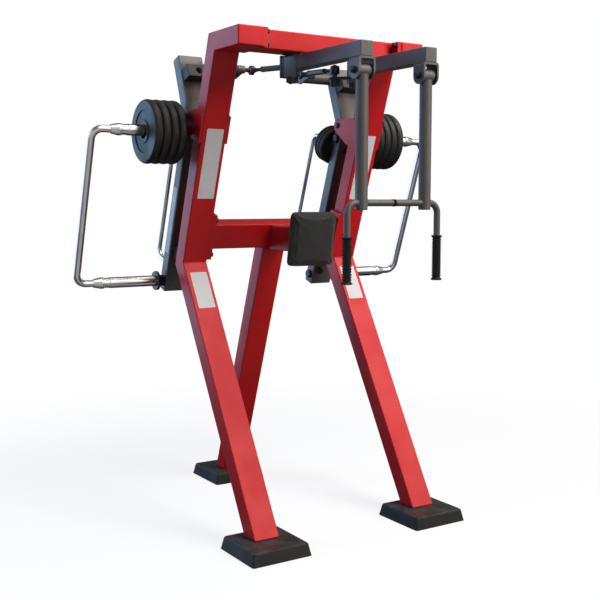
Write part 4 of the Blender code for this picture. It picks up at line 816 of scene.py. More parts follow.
def build_frame():
    """The painted frame, its welds, its flange bolts and its bare plates."""
    for node in (
        "side_frame_left", "side_frame_right", "top_crossbeam", "mid_crossbeam", "rear_leg", "pad_stub",
    ):
        refined("painted_" + node, node, RED, "frame")
    refined("pad_back_plate", "pad_plate", BLACK_STEEL_AND_PAINTED_SHADE, "frame")
    lines = []
    heads = {-1: [], 1: []}
    for side in SIDES.values():
        face = side * (FLANGE_X - FLANGE_THICK)
        post = side * (POST_X - TUBE_WIDE / 2.0)
        lines += [[at(face, y, z) for z in TOP_WELD_Z] for y in TOP_WELD_Y]
        for x, back, half_tall, ends in (
            (face, MID_BEAM_BACK, BEAM_WELD_UP, BEAM_WELD_BACK),
            (post, 0.0, FLANGE_WELD_UP, FLANGE_WELD_BACK),
        ):
            for up in (-half_tall, half_tall):
                middle = mid_beam(x, back) + UP_POST * up
                lines.append([middle + BACK_POST * end for end in ends])
        heads[side] += [at(face, y, z) for y in TOP_BOLT_Y for z in TOP_BOLT_Z]
        low_flange = mid_beam(face, 0.0)
        heads[side] += [
            low_flange + UP_POST * up + BACK_POST * back for up in LOW_BOLT_UP for back in LOW_BOLT_BACK]
    beam_front = mid_beam(0.0, MID_BEAM_BACK) - BACK_POST * (TUBE_DEEP / 2.0)
    stub = beam_front + UP_POST * ((PAD_FACE_Z + STUB_RISE - beam_front.z) / UP_POST.z)
    lines.append(four_sided(stub, ALONG_X, STUB_HALF_WIDE, UP_POST, 0.0615))
    leg_top = mid_beam(0.0, MID_BEAM_BACK) - UP_POST * (TUBE_WIDE / 2.0)
    lines.append(four_sided(leg_top, ALONG_X, 0.058, BACK_POST, 0.039))
    plate = at(0.0, PAD_FACE_Y, PAD_FACE_Z) + BACK_PAD * (PAD_THICK + 0.0066)
    lines.append(four_sided(plate + UP_PAD * STUB_RISE, ALONG_X, STUB_HALF_WIDE, UP_PAD, 0.0585))
    welds("frame_welds", lines, RED, "frame", 0.0032)
    bolt = {"Radius": 0.0112, "Washer": 0.0128, "Thick": 0.0022}
    for word, side in SIDES.items():
        name = "flange_bolts_" + word
        mesh = bpy.data.meshes.new("bolt_places")
        mesh.from_pydata([tuple(place) for place in heads[side]], [], [])
        made = grown(name, BOLTS, mesh, BLACK_STEEL_AND_PAINTED_SHADE, Axis=(-side, 0.0, 0.0), **bolt)
        piece(name, made, BLACK_STEEL_AND_PAINTED_SHADE, "frame")
    build_bare_plates()


def build_bare_plates():
    """Thin bare plates riveted to the posts and the legs."""
    rivet = eased([(0.0022, 0.0), (0.0022, 0.0016), (0.0004, 0.0022)], 0.0008)
    for word, side in SIDES.items():
        bm = bmesh.new()
        for place, up, z, half_wide, half_tall in (
            (post_front, UP_POST, POST_SHEET_Z, 0.0402, 0.159),
            (leg_front, UP_LEG, LEG_SHEET_Z, 0.0417, 0.089),
        ):
            out = up.cross(ALONG_X).normalized()
            if out.y > 0.0:
                out = -out
            middle = place(side * SHEET_X, z)
            bare_sheet(bm, middle, ALONG_X, up, out, half_wide, half_tall, 0.005)
            for a in (-half_wide + RIVET_INSET, half_wide - RIVET_INSET):
                for b in (-half_tall + RIVET_INSET, half_tall - RIVET_INSET):
                    turned(bm, rivet, middle + ALONG_X * a + up * b, out, 16)
        finished(bm, "bare_plates_" + word, BARE_STEEL, "frame", angle=32.0)


def build_feet():
    """Moulded shoes with sloped sides, soft corners and a thin lip on the floor."""
    half_foot, half_top, soft = FOOT_SIDE / 2.0, FOOT_TOP_SIDE / 2.0, 0.010
    steps = [(half_foot, 0.0), (half_foot, 0.004), (half_foot - 0.0012, 0.0062)]
    steps.append((half_top + 0.0035, FOOT_HEIGHT - 0.013))
    for reach, rise in arc((0.0, 0.0), soft, 12.0, 90.0, 7):
        steps.append((half_top + 0.0025 - soft + reach, FOOT_HEIGHT - soft + rise))
    steps.append((half_top - 0.020, FOOT_HEIGHT))
    for node in ("foot_left", "foot_right", "foot_rear"):
        low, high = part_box(node)
        middle = (low + high) / 2.0
        rings = []
        for half, z in steps:
            corner = 0.012 - (half_foot - half) * 0.1
            square = [(half, -half), (half, half), (-half, half), (-half, -half)]
            rings.append([(middle.x + x, middle.y + y, z) for x, y in eased(square, corner, 6, True)])
        bm = bmesh.new()
        bridged(bm, rings)
        finished(bm, "shoe_" + node[5:], FOOT_RUBBER, "frame", node, angle=50.0)


# ---------------------------------------------------------------- torso pad


def pad_edge_distance(x, u):
    """How far a point of the pad lies outside its rounded outline."""
    dx = abs(x) - (PAD_WIDE / 2.0 - PAD_CORNER)
    du = abs(u) - (PAD_TALL / 2.0 - PAD_CORNER)
    outside = math.hypot(max(dx, 0.0), max(du, 0.0))
    return outside + min(max(dx, du), 0.0) - PAD_CORNER


def pad_outline(inset):
    """The pad's rounded outline, moved inwards."""
    half_x = PAD_WIDE / 2.0 - inset
    half_u = PAD_TALL / 2.0 - inset
    radius = PAD_CORNER - inset * 0.8
    points = []
    for turn, (cx, cu) in enumerate(((1, 1), (-1, 1), (-1, -1), (1, -1))):
        middle = (cx * (half_x - radius), cu * (half_u - radius))
        points += arc(middle, radius, 90.0 * turn, 90.0 * turn + 90.0, 10)
    return points


def start_pad():
    """The pad before it is blown up: a little smaller, with soft corners."""
    layers = [
        (PAD_THICK - 0.0005, 0.006), (PAD_THICK - 0.002, 0.003), (PAD_THICK * 0.55, 0.0045),
        (0.008, 0.003), (0.0035, 0.0065), (0.0015, 0.012),
    ]
    bm = bmesh.new()
    bridged(bm, [[(x, depth, u) for x, u in pad_outline(inset)] for depth, inset in layers])
    bmesh.ops.recalc_face_normals(bm, faces=bm.faces)
    mesh = bpy.data.meshes.new("pad_start")
    bm.to_mesh(mesh)
    bm.free()
    return mesh


def blown(mesh):
    """Lets the foam press the cover out, and caps how far any point may go."""
    scene = bpy.context.scene
    helper = shown("pad_helper", mesh)
    voxels = helper.modifiers.new("voxels", "REMESH")
    voxels.mode = "VOXEL"
    voxels.voxel_size = 0.0045
    even = settled_mesh(helper)
    helper.modifiers.remove(voxels)
    helper.data = even
    rest = [vert.co.copy() for vert in even.vertices]
    held = helper.vertex_groups.new(name="board")
    held.add([k for k, co in enumerate(rest) if co.y > PAD_THICK - 0.005], 1.0, "REPLACE")
    cloth = helper.modifiers.new("foam", "CLOTH")
    cloth.settings.quality = 6
    cloth.settings.use_pressure = True
    cloth.settings.uniform_pressure_force = 4.0
    cloth.settings.effector_weights.gravity = 0.0
    cloth.settings.vertex_group_mass = "board"
    cloth.point_cache.frame_start = 1
    cloth.point_cache.frame_end = PUFF_FRAMES
    for step in range(1, PUFF_FRAMES + 1):
        scene.frame_set(step)
        bpy.context.view_layer.update()
    final = settled_mesh(helper)
    for vert, was in zip(final.vertices, rest):
        move = vert.co - was
        if move.length > MOST_PUFF:
            vert.co = was + move.normalized() * MOST_PUFF
    scene.frame_set(1)
    helper.modifiers.remove(cloth)
    helper.data = final
    finer = helper.modifiers.new("finer", "SUBSURF")
    finer.levels = 1
    finer.render_levels = 1
    done = settled_mesh(helper)
    bpy.data.objects.remove(helper)
    return done


def ridge(value, middle, width):
    """A soft bump of height one round a value."""
    return math.exp(-(((value - middle) / width) ** 2))


def build_pad():
    """The cushion with its hollow face, raised bead, pinched edge and stitches."""
    mesh = blown(start_pad())
    for vert in mesh.vertices:
        x, depth, u = vert.co
        edge = pad_edge_distance(x, u)
        if depth < 0.012:
            depth += 0.0013 * ridge(edge, -0.0105, 0.0017)
            bowl = 1.0 - max(0.0, 1.0 + edge / 0.10)
            depth -= 0.0030 * max(0.0, min(1.0, bowl)) ** 0.7
        if edge > -0.009:
            pinch = 0.0014 * ridge(depth, 0.0125, 0.0016)
            x -= math.copysign(pinch, x) * (1.0 if abs(x) > PAD_WIDE / 2.0 - 0.02 else 0.0)
            u -= math.copysign(pinch, u) * (1.0 if abs(u) > PAD_TALL / 2.0 - 0.02 else 0.0)
        vert.co = (x, min(depth, PAD_THICK - 0.0002), u)
    face = at(0.0, PAD_FACE_Y, PAD_FACE_Z)
    turn = Matrix((ALONG_X, BACK_PAD, UP_PAD)).transposed()
    mesh.transform(Matrix.Translation(face) @ turn.to_4x4())
    mesh.shade_smooth()
    piece("chest_cushion", mesh, PAD_COVER, "frame", "torso_pad")
    line = [face + ALONG_X * x + UP_PAD * u - BACK_PAD * 0.0012 for x, u in pad_outline(0.0145)]
    line.append(line[0].copy())
    name = "cushion_stitches"
    sewn = grown(
        name, BEADS, line_mesh([line]), THREAD, Radius=0.00045, Pitch=0.0042, Stretch=(1.0, 1.0, 3.6))
    piece(name, sewn, THREAD, "frame")


# ---------------------------------------------------------------- levers and what they carry


def build_lever(word, side):
    """The lever with its stop block, pivot bolt, bumper and welds."""
    body = "lever_" + word
    refined("painted_lever_" + word, body, GRAPHITE, body)
    refined("bumper_block_" + word, "bumper_" + word, FOOT_RUBBER, body)
    block = on_lever_top(side * POST_X, STOP_BLOCK_ALONG, -LEVER_DEEP / 2.0)
    lines = [four_sided(block, ALONG_X, STOP_BLOCK_WIDE / 2.0, UP_LEVER, STOP_BLOCK_TALL / 2.0)]
    for x in (POST_X - LEVER_WIDE / 2.0, CRANK_X + CRANK_THICK / 2.0):
        lines.append(circle(on_lever_top(side * x, CROSS_TUBE_ALONG), ALONG_X, CROSS_TUBE_R + 0.0008))
    welds("lever_welds_" + word, lines, GRAPHITE, body, 0.0026)
    build_stop_block(word, side)
    build_pivot_bolt(word, side)
    build_cross_tube(word, side)
    build_lever_strip(word, side)


def build_stop_block(word, side):
    """The dark rubber face and sides of the block that stops the lever, its bore left open."""
    skin, soft, steps = 0.0006, 0.0022, 12
    wide, tall = STOP_BLOCK_WIDE / 2.0 + skin, STOP_BLOCK_TALL / 2.0 + skin
    deep = STOP_BLOCK_DEEP + skin
    middle = on_lever_top(side * POST_X, STOP_BLOCK_ALONG, -LEVER_DEEP / 2.0)
    corners = [(-1, -1), (1, -1), (1, 1), (-1, 1), (-1, -1)]
    edge = []
    for (x, z), (next_x, next_z) in zip(corners, corners[1:]):
        edge += [(x + (next_x - x) * k / steps, z + (next_z - z) * k / steps) for k in range(steps)]
    turns = [math.atan2(z * tall, x * wide) for x, z in edge]
    rings = []
    for inset, out in ((0.0, 0.0008), (0.0, deep - soft), (soft * 0.3, deep - soft * 0.3), (soft, deep)):
        rings.append([
            middle + ALONG_X * (x * (wide - inset)) + UP_LEVER * (z * (tall - inset)) - BACK_TOP * out
            for x, z in edge])
    for radius, out in ((0.0162, deep), (0.0150, deep - 0.0012), (0.0150, deep - 0.020)):
        rings.append([
            middle + ALONG_X * (radius * math.cos(t)) + UP_LEVER * (radius * math.sin(t)) - BACK_TOP * out
            for t in turns])
    bm = bmesh.new()
    bridged(bm, rings)
    finished(bm, "stop_block_face_" + word, STOP_RUBBER, "lever_" + word, angle=50.0)


def build_lever_strip(word, side):
    """A bare strip on the lever's outer face."""
    middle = on_lever(side * (POST_X + LEVER_WIDE / 2.0), STRIP_DOWN)
    bm = bmesh.new()
    bare_sheet(bm, middle, BACK_POST, UP_POST, ALONG_X * side, 0.019, 0.16, 0.004)
    finished(bm, "bare_strip_" + word, BARE_STEEL, "lever_" + word, angle=32.0)


def build_pivot_bolt(word, side):
    """The bolt through the brackets, with a domed head and a washer on both ends."""
    head = [
        (0.012, 0.0), (0.0155, 0.0), (0.0155, 0.0026), (0.0135, 0.0030), (0.0128, 0.0062),
        (0.0110, 0.0088), (0.0065, 0.0100), (0.0008, 0.0102),
    ]
    profile = two_headed(head, TUBE_WIDE / 2.0 + 0.010 + GAP, 0.0007, 3)
    centre = at(side * POST_X, PIVOT_Y, PIVOT_Z)
    nodes = ["lever_pivot_bolt_" + word]
    lathed("pivot_bolt_" + word, BLACK_STEEL_AND_PAINTED_SHADE, "frame", nodes, profile, centre, ALONG_X)


def crank_pin(x):
    """The middle of the pin that drives the link."""
    return on_lever_top(x, CROSS_TUBE_ALONG) + Vector((0.0, -CRANK_REACH, CRANK_RISE))


def build_cross_tube(word, side):
    """The tube through the lever's top, its crank plate and the pin."""
    body = "lever_" + word
    centre = on_lever_top(0.0, CROSS_TUBE_ALONG)
    outer = POST_X + LEVER_WIDE / 2.0
    tube = [
        (CROSS_TUBE_R, CRANK_X), (CROSS_TUBE_R, outer), (CROSS_TUBE_R - 0.0008, outer + 0.0004),
        (0.001, outer + 0.0004),
    ]
    bm = bmesh.new()
    turned(bm, tube, centre, ALONG_X * side, 64)
    run = Vector((-CRANK_REACH, CRANK_RISE))
    face = math.degrees(math.atan2(run.y, run.x))
    open_angle = math.degrees(math.acos((CRANK_TUBE_END_R - CRANK_PIN_END_R) / run.length))
    flat = arc((0.0, 0.0), CRANK_TUBE_END_R, face + open_angle, face + 360.0 - open_angle, 40)
    flat += arc(tuple(run), CRANK_PIN_END_R, face - open_angle, face + open_angle, 20)
    low = centre + ALONG_X * (side * (CRANK_X - CRANK_THICK / 2.0))
    plate_solid(bm, [low + Vector((0.0, y, z)) for y, z in flat], ALONG_X * (side * CRANK_THICK), 0.0009)
    finished(bm, "cross_tube_and_crank_" + word, GRAPHITE, body, "cross_tube_" + word, angle=36.0)
    ball_in = BALL_X - BALL_WIDE / 2.0 - 0.0005
    ball_out = BALL_X + BALL_WIDE / 2.0 + 0.0005
    plate_in = CRANK_X - CRANK_THICK / 2.0
    plate_out = plate_in + CRANK_THICK
    pin = [
        (0.0008, ball_in - 0.0052), (0.0080, ball_in - 0.0050), (0.0095, ball_in - 0.0034),
        (0.0122, ball_in - 0.0034), (0.0130, ball_in - 0.0026), (0.0130, ball_in),
        (CRANK_PIN_R, ball_in), (CRANK_PIN_R, ball_out), (0.010, ball_out), (0.010, plate_in - 0.003),
        (0.018, plate_in - 0.003), (0.018, plate_out + 0.010), (0.0168, plate_out + 0.0108),
        (0.0168, plate_out + 0.0124), (0.018, plate_out + 0.0132), (0.018, plate_out + 0.023),
        (0.0165, plate_out + 0.026), (0.0008, plate_out + 0.026),
    ]
    made = lathed(
        "crank_pin_" + word, BLACK_STEEL_AND_PAINTED_SHADE, body, [], eased(pin, 0.0006, 3), crank_pin(0.0), ALONG_X * side)
    second_look(made, GRAPHITE, lambda spot: abs(spot.x) > plate_in - 0.004)


def build_side_rail(word, side):
    """The C-shaped chrome rail with its sleeves and collars, and its black discs and caps."""
    corners = [
        on_lever(side * x, down) for x, down in (
            (SIDE_RAIL_START_X, SIDE_RAIL_TOP), (SIDE_RAIL_X, SIDE_RAIL_TOP),
            (SIDE_RAIL_X, SIDE_RAIL_LOW), (SIDE_RAIL_START_X, SIDE_RAIL_LOW))
    ]
    bright = bmesh.new()
    dark = bmesh.new()
    swept(bright, corner_path(corners, SIDE_RAIL_BEND), SIDE_RAIL_R, 48)
    inside = 0.012
    collar = SIDE_COLLAR_X
    sleeve = [
        (inside, RAIL_DISC_X + 0.002), (SLEEVE_R, RAIL_DISC_X + 0.002), (SLEEVE_R, collar - 0.0300),
        (SLEEVE_R - 0.002, collar - 0.0275), (SLEEVE_R - 0.002, collar - 0.0005),
        (SLEEVE_R + 0.0015, collar), (SLEEVE_R + 0.0015, collar + 0.0045), (SLEEVE_R, collar + 0.0055),
        (SLEEVE_R, collar + 0.0070), (SLEEVE_R + 0.0015, collar + 0.0080),
        (SLEEVE_R + 0.0015, collar + 0.0125), (0.0195, collar + 0.0480), (0.0178, collar + 0.0500),
        (inside, collar + 0.0500),
    ]
    disc = [
        (inside, 0.4741), (0.026, 0.4741), (0.026, 0.4985), (0.0285, RAIL_DISC_X),
        (RAIL_DISC_R, RAIL_DISC_X), (RAIL_DISC_R, RAIL_DISC_X + RAIL_DISC_THICK),
        (inside, RAIL_DISC_X + RAIL_DISC_THICK),
    ]
    cap = [
        (0.0008, 0.3397), (0.0160, 0.3400), (0.0196, 0.3420), (0.0210, 0.3450), (0.0210, 0.3478),
        (0.0198, 0.3486), (0.0198, 0.3498), (0.0210, 0.3506), (0.0210, 0.3547), (0.0165, 0.3547),
    ]
    for down in (SIDE_RAIL_TOP, SIDE_RAIL_LOW):
        centre = on_lever(0.0, down)
        turned(bright, eased(sleeve, 0.0009, 3, True), centre, ALONG_X * side, 64, True)
        turned(dark, eased(disc, 0.0016, 4, True), centre, ALONG_X * side, 64, True)
        turned(dark, eased(cap, 0.0005, 2), centre, ALONG_X * side, 48)
    finished(bright, "chrome_side_rail_" + word, CHROME, "lever_" + word, "side_rail_" + word)
    finished(dark, "side_rail_fittings_" + word, BLACK_STEEL_AND_PAINTED_SHADE, "lever_" + word)


def build_rear_rail(word, side):
    """The thinner chrome rail behind the lever, with its sleeve, socket and nuts."""
    x = side * REAR_RAIL_X
    half = LEVER_DEEP / 2.0
    start = -half - 0.004
    corners = [
        on_lever(x, REAR_RAIL_TOP, start), on_lever(x, REAR_RAIL_TOP, REAR_RAIL_REACH),
        on_lever(x, REAR_RAIL_LOW, REAR_RAIL_REACH), on_lever(x, REAR_RAIL_LOW, start),
    ]
    bright = bmesh.new()
    dark = bmesh.new()
    swept(bright, corner_path(corners, REAR_RAIL_BEND), REAR_RAIL_R)
    inside = 0.008
    end = half + REAR_SLEEVE_LONG
    sleeve = [
        (inside, half + GAP), (SLEEVE_R, half + GAP), (SLEEVE_R, end - 0.026),
        (SLEEVE_R - 0.0015, end - 0.0245), (SLEEVE_R - 0.0015, end - 0.0225), (SLEEVE_R, end - 0.021),
        (SLEEVE_R, end), (0.0128, end + 0.0135), (inside, end + 0.0135),
    ]
    socket = [
        (inside, half + GAP), (0.018, half + GAP), (0.018, half + 0.020), (0.0125, half + 0.0245),
        (inside, half + 0.0245),
    ]
    nut = [
        (0.0008, -half - 0.0123), (0.0150, -half - 0.0120), (0.018, -half - 0.0095),
        (0.018, -half - 0.0070), (0.0168, -half - 0.0062), (0.0168, -half - 0.0052),
        (0.018, -half - 0.0044), (0.018, -half - GAP), (0.010, -half - GAP),
    ]
    turned(bright, eased(sleeve, 0.0009, 3, True), on_lever(x, REAR_RAIL_TOP), BACK_POST, 64, True)
    turned(dark, eased(socket, 0.0010, 3, True), on_lever(x, REAR_RAIL_LOW), BACK_POST, 48, True)
    for down in (REAR_RAIL_TOP, REAR_RAIL_LOW):
        turned(dark, eased(nut, 0.0006, 3), on_lever(x, down), BACK_POST)
    finished(bright, "chrome_rear_rail_" + word, CHROME, "lever_" + word, "rear_rail_" + word)
    finished(dark, "rear_rail_fittings_" + word, BLACK_STEEL_AND_PAINTED_SHADE, "lever_" + word)


def plate_profile(radius, thick, hub, web, soft):
    """Half section of a rubber-coated weight plate: stepped web and a barrel rim."""
    half = thick / 2.0
    crown = 0.0022
    step = radius * 0.66
    section = [
        (PLATE_BORE_R + 0.0005, -half + 0.0010), (PLATE_BORE_R + 0.0012, -half), (hub - 0.0008, -half),
        (hub, -half + 0.0008), (hub + 0.0006, -half + web - 0.0008), (hub + 0.0014, -half + web),
        (step - 0.0014, -half + web), (step - 0.0006, -half + web - 0.0008), (step, -half + 0.0008),
        (step + 0.0008, -half),
    ]
    section += [
        (radius - crown - soft + a, -half + soft + b) for a, b in arc((0.0, 0.0), soft, -90.0, -12.0, 9)]
    section += [(radius - crown * 0.45, -half * 0.42), (radius - crown * 0.10, -half * 0.16)]
    return section + [(r, -s) for r, s in reversed(section)]


def build_plates(word, side):
    """The captive stacks on the side sleeve and on the rear sleeve."""
    side_profile = plate_profile(SIDE_PLATE_R + 0.003, SIDE_PLATE_THICK, 0.050, 0.0042, 0.0105)
    rear_profile = plate_profile(REAR_PLATE_R + 0.001, REAR_PLATE_THICK, 0.042, 0.0030, 0.0062)
    for kind, count, profile, axis, segments in (
        ("side", 4, side_profile, ALONG_X * side, 96), ("rear", 3, rear_profile, BACK_POST, 80),
    ):
        for k in range(1, count + 1):
            node = f"{kind}_plate_{word}_{k}"
            low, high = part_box(node)
            lathed(
                "rubber_" + node, PLATE_RUBBER, f"{kind}_plates_{word}", [node], profile,
                (low + high) / 2.0, axis, segments, True, 30.0)


# ---------------------------------------------------------------- links


def thread(start, stop):
    """The profile of a screw thread on the link's shank."""
    points = []
    while start < stop:
        points += [(SHANK_R, start), (SHANK_R - 0.0007, start + 0.0006)]
        start += 0.0012
    return points


def build_link(word, side):
    """The turnbuckle rod with a ball eye at the crank and a swivel eye at the horn."""
    rear = crank_pin(side * BALL_X)
    front = at(side * HORN_BOLT_X, HORN_BOLT_Y, FRONT_EYE_Z)
    run = front - rear
    half = EYE_WIDE / 2.0
    seat = BALL_R + GAP
    lip = math.degrees(math.asin(half / seat))
    ring = [(r, s) for s, r in arc((0.0, 0.0), seat, 90.0 + lip, 90.0 - lip, 10)]
    ring += eased([(seat + 0.001, half), (EYE_R, half), (EYE_R, -half), (seat + 0.001, -half)], 0.0018, 4)
    bm = bmesh.new()
    turned(bm, ring, rear, ALONG_X, 64, True)
    middle = (EYE_R + run.length - FRONT_EYE_R) / 2.0
    body_low, body_high = middle - TURNBUCKLE_LONG / 2.0, middle + TURNBUCKLE_LONG / 2.0
    rear_stop = body_low - LOCK_NUT_LONG
    front_stop = run.length - FRONT_EYE_R - 0.010
    rod = [(SHANK_R + 0.0035, EYE_R - 0.004), (SHANK_R + 0.0035, EYE_R + 0.010), (SHANK_R, EYE_R + 0.013)]
    rod += thread(EYE_R + 0.014, rear_stop)
    rod += [
        (SHANK_R, rear_stop), (SHANK_R, body_low), (TURNBUCKLE_R - 0.0012, body_low),
        (TURNBUCKLE_R, body_low + 0.0012), (TURNBUCKLE_R, body_high - 0.0012),
        (TURNBUCKLE_R - 0.0012, body_high), (SHANK_R, body_high),
    ]
    rod += thread(body_high + LOCK_NUT_LONG, front_stop)
    rod += [(SHANK_R + 0.003, front_stop + 0.002), (SHANK_R + 0.003, run.length - FRONT_EYE_R + 0.004)]
    turned(bm, rod, rear, run, 36)
    for start in (rear_stop, body_high):
        end = start + LOCK_NUT_LONG
        nut = [
            (LOCK_NUT_R - 0.002, start + 0.0001), (LOCK_NUT_R, start + 0.0014),
            (LOCK_NUT_R, end - 0.0014), (LOCK_NUT_R - 0.002, end - 0.0001),
        ]
        turned(bm, nut, rear, run.normalized(), 6)
    tall = FRONT_EYE_TALL / 2.0
    stub = HORN_TOP_Z + 0.0014 - FRONT_EYE_Z
    eye = [
        (0.0008, stub), (0.0100, stub), (0.011, stub + 0.001), (0.011, -tall), (0.0115, -tall),
        (FRONT_EYE_R - 0.0015, -tall), (FRONT_EYE_R, -tall + 0.0015), (FRONT_EYE_R, tall - 0.0035),
        (FRONT_EYE_R - 0.0030, tall - 0.0004), (0.014, tall - 0.0002), (0.0132, tall - 0.0022),
        (0.0008, tall - 0.0022),
    ]
    turned(bm, eased(eye, 0.0006, 3), front, UPRIGHT, 56)
    finished(
        bm, "turnbuckle_link_" + word, BLACK_STEEL_AND_PAINTED_SHADE, "link_" + word, "link_" + word, angle=34.0,
        slot_name="graphite_paint")
    cap = [
        (0.0125, tall - 0.0022), (0.0125, tall - 0.0004), (0.0105, tall), (0.0092, tall + 0.0036),
        (0.0050, tall + 0.0050), (0.0006, tall + 0.0053),
    ]
    lathed("link_cap_" + word, BLACK_STEEL_AND_PAINTED_SHADE, "link_" + word, [], eased(cap, 0.0006, 3), front, UPRIGHT, 40)
    edge = math.degrees(math.asin(BALL_WIDE / 2.0 / BALL_R))
    bore = CRANK_PIN_R + GAP
    ball = [(bore, -BALL_WIDE / 2.0)]
    ball += [(r, s) for s, r in arc((0.0, 0.0), BALL_R, 90.0 + edge, 90.0 - edge, 16)]
    ball.append((bore, BALL_WIDE / 2.0))
    node = "link_ball_" + word
    lathed("link_ball_bright_" + word, CHROME, node, [node], ball, rear, ALONG_X, 48, True)


# ---------------------------------------------------------------- arms and handles


def build_arm(word, side):
    """The swinging arm with its lip, its pivot, its clevis and the clevis pin."""
    body = "arm_" + word
    low_z = ARM_TOP_Z - ARM_SIDE
    made = refined("painted_arm_" + word, body, GRAPHITE, body)
    # The faces under the arm, its horn and boss, take the black finish as painted shade.
    second_look(made, BLACK_STEEL_AND_PAINTED_SHADE, lambda spot: spot.z < low_z - 0.0006 and abs(spot.x) < ARM_X - 0.026)
    outer = side * (ARM_X + ARM_SIDE / 2.0 + 0.001)
    low = HUB_LOW_Z + 0.001
    bm = bmesh.new()
    for near, wide, y, deep, high in (
        (outer, -side * 0.009, 0.120, 0.020, ARM_TOP_Z - 0.001),
        (outer + side * 0.003, -side * 0.032, 0.139, 0.009, HUB_TOP_Z - 0.0005),
    ):
        flat = [at(near, y, low), at(near + wide, y, low), at(near + wide, y, high), at(near, y, high)]
        plate_solid(bm, flat, Vector((0.0, deep, 0.0)), 0.0009)
    finished(bm, "arm_end_lip_" + word, GRAPHITE, body, angle=50.0)
    refined("bent_clevis_" + word, "clevis_" + word, GRAPHITE, body)
    lines = []
    for edge in (-ARM_SIDE / 2.0, ARM_SIDE / 2.0):
        lines.append([at(side * ARM_X + edge, y, low_z) for y in CLEVIS_WELD_Y])
    boss = at(side * HORN_BOLT_X, HORN_BOLT_Y, HORN_TOP_Z - 0.008)
    lines.append(circle(boss, UPRIGHT, 0.0225))
    welds("arm_welds_" + word, lines, GRAPHITE, body, 0.0024)
    head = [
        (0.010, 0.0), (0.0142, 0.0), (0.0142, 0.0022), (0.0128, 0.0030), (0.0128, 0.0110),
        (0.0112, 0.0148), (0.0070, 0.0172), (0.0008, 0.0180),
    ]
    profile = two_headed(head, CLEVIS_WIDE / 2.0 + GAP, 0.0010, 4)
    centre = at(side * ARM_X, CLEVIS_PIN_Y, CLEVIS_PIN_Z)
    lathed("swing_pin_" + word, BLACK_STEEL_AND_PAINTED_SHADE, body, ["clevis_pin_" + word], profile, centre, ALONG_X)
    beam_low = HEIGHT - TUBE_DEEP - GAP
    collar_top = HUB_LOW_Z - 0.0005
    collar_low = collar_top - 0.020
    washer_low = HUB_TOP_Z + 0.0005
    pin = [
        (0.0008, collar_low - 0.0062), (0.0062, collar_low - 0.0058), (0.009, collar_low - 0.0042),
        (0.009, collar_low), (0.0165, collar_low), (0.019, collar_low + 0.0022), (0.019, collar_top),
        (0.015, collar_top), (0.015, washer_low), (0.038, washer_low), (0.038, beam_low),
        (0.0008, beam_low),
    ]
    lathed(
        "arm_pivot_" + word, BLACK_STEEL_AND_PAINTED_SHADE, "frame", ["arm_pin_" + word], eased(pin, 0.0008, 3),
        at(side * ARM_PIVOT_X, TOP_BEAM_Y, 0.0), UPRIGHT, 56)


def build_handle(word, side):
    """The hanging tube, the bent bar through it, and the studded grip."""
    body = "handle_" + word
    half = CLEVIS_WIDE / 2.0 - 0.008 - 0.0005
    low = HANGER_LOW_Z - CLEVIS_PIN_Z
    bush = [
        (0.0103, -half), (HANGER_BUSH_R - 0.003, -half), (HANGER_BUSH_R, -half + 0.003),
        (HANGER_BUSH_R, half - 0.003), (HANGER_BUSH_R - 0.003, half), (0.0103, half),
    ]
    tube = [
        (0.0010, low + 0.0005), (HANGER_TUBE_R - 0.0035, low), (HANGER_TUBE_R, low + 0.0035),
        (HANGER_TUBE_R, -0.0165), (0.0010, -0.0165),
    ]
    centre = at(side * ARM_X, CLEVIS_PIN_Y, CLEVIS_PIN_Z)
    bm = bmesh.new()
    turned(bm, eased(bush, 0.0012, 3, True), centre, ALONG_X, 64, True)
    turned(bm, eased(tube, 0.0014, 4), centre, UPRIGHT, 64)
    finished(bm, "hanging_tube_" + word, GRAPHITE, body, "hanger_" + word)
    corners = [
        at(side * x, CLEVIS_PIN_Y, z)
        for x, z in ((BAR_INNER_X, BAR_Z), (BAR_OUTER_X, BAR_Z), (BAR_OUTER_X, BAR_LOW_Z))
    ]
    collar = [
        (BAR_R - 0.001, -0.0035), (BAR_R + 0.0022, -0.0030), (BAR_R + 0.0008, 0.0022),
        (BAR_R - 0.001, 0.0034),
    ]
    bm = bmesh.new()
    swept(bm, corner_path(corners, BAR_BEND), BAR_R)
    for face in (-1, 1):
        middle = at(side * ARM_X + face * HANGER_TUBE_R * 0.92, CLEVIS_PIN_Y, BAR_Z)
        turned(bm, eased(collar, 0.0008, 3, True), middle, ALONG_X * face, 48, True)
    finished(bm, "bent_bar_" + word, GRAPHITE, body, "handle_bar_" + word, angle=36.0)
    ring = [
        (BAR_R - 0.002, 0.0002), (BAR_R + 0.0014, 0.0002), (BAR_R + 0.0014, 0.0034),
        (BAR_R - 0.002, 0.0034),
    ]
    lathed(
        "bar_end_ring_" + word, GRIP_RUBBER, body, [], eased(ring, 0.0012, 3, True),
        corners[0] - ALONG_X * (side * 0.0005), ALONG_X * side, 48, True)
    build_grip(word, side, body)


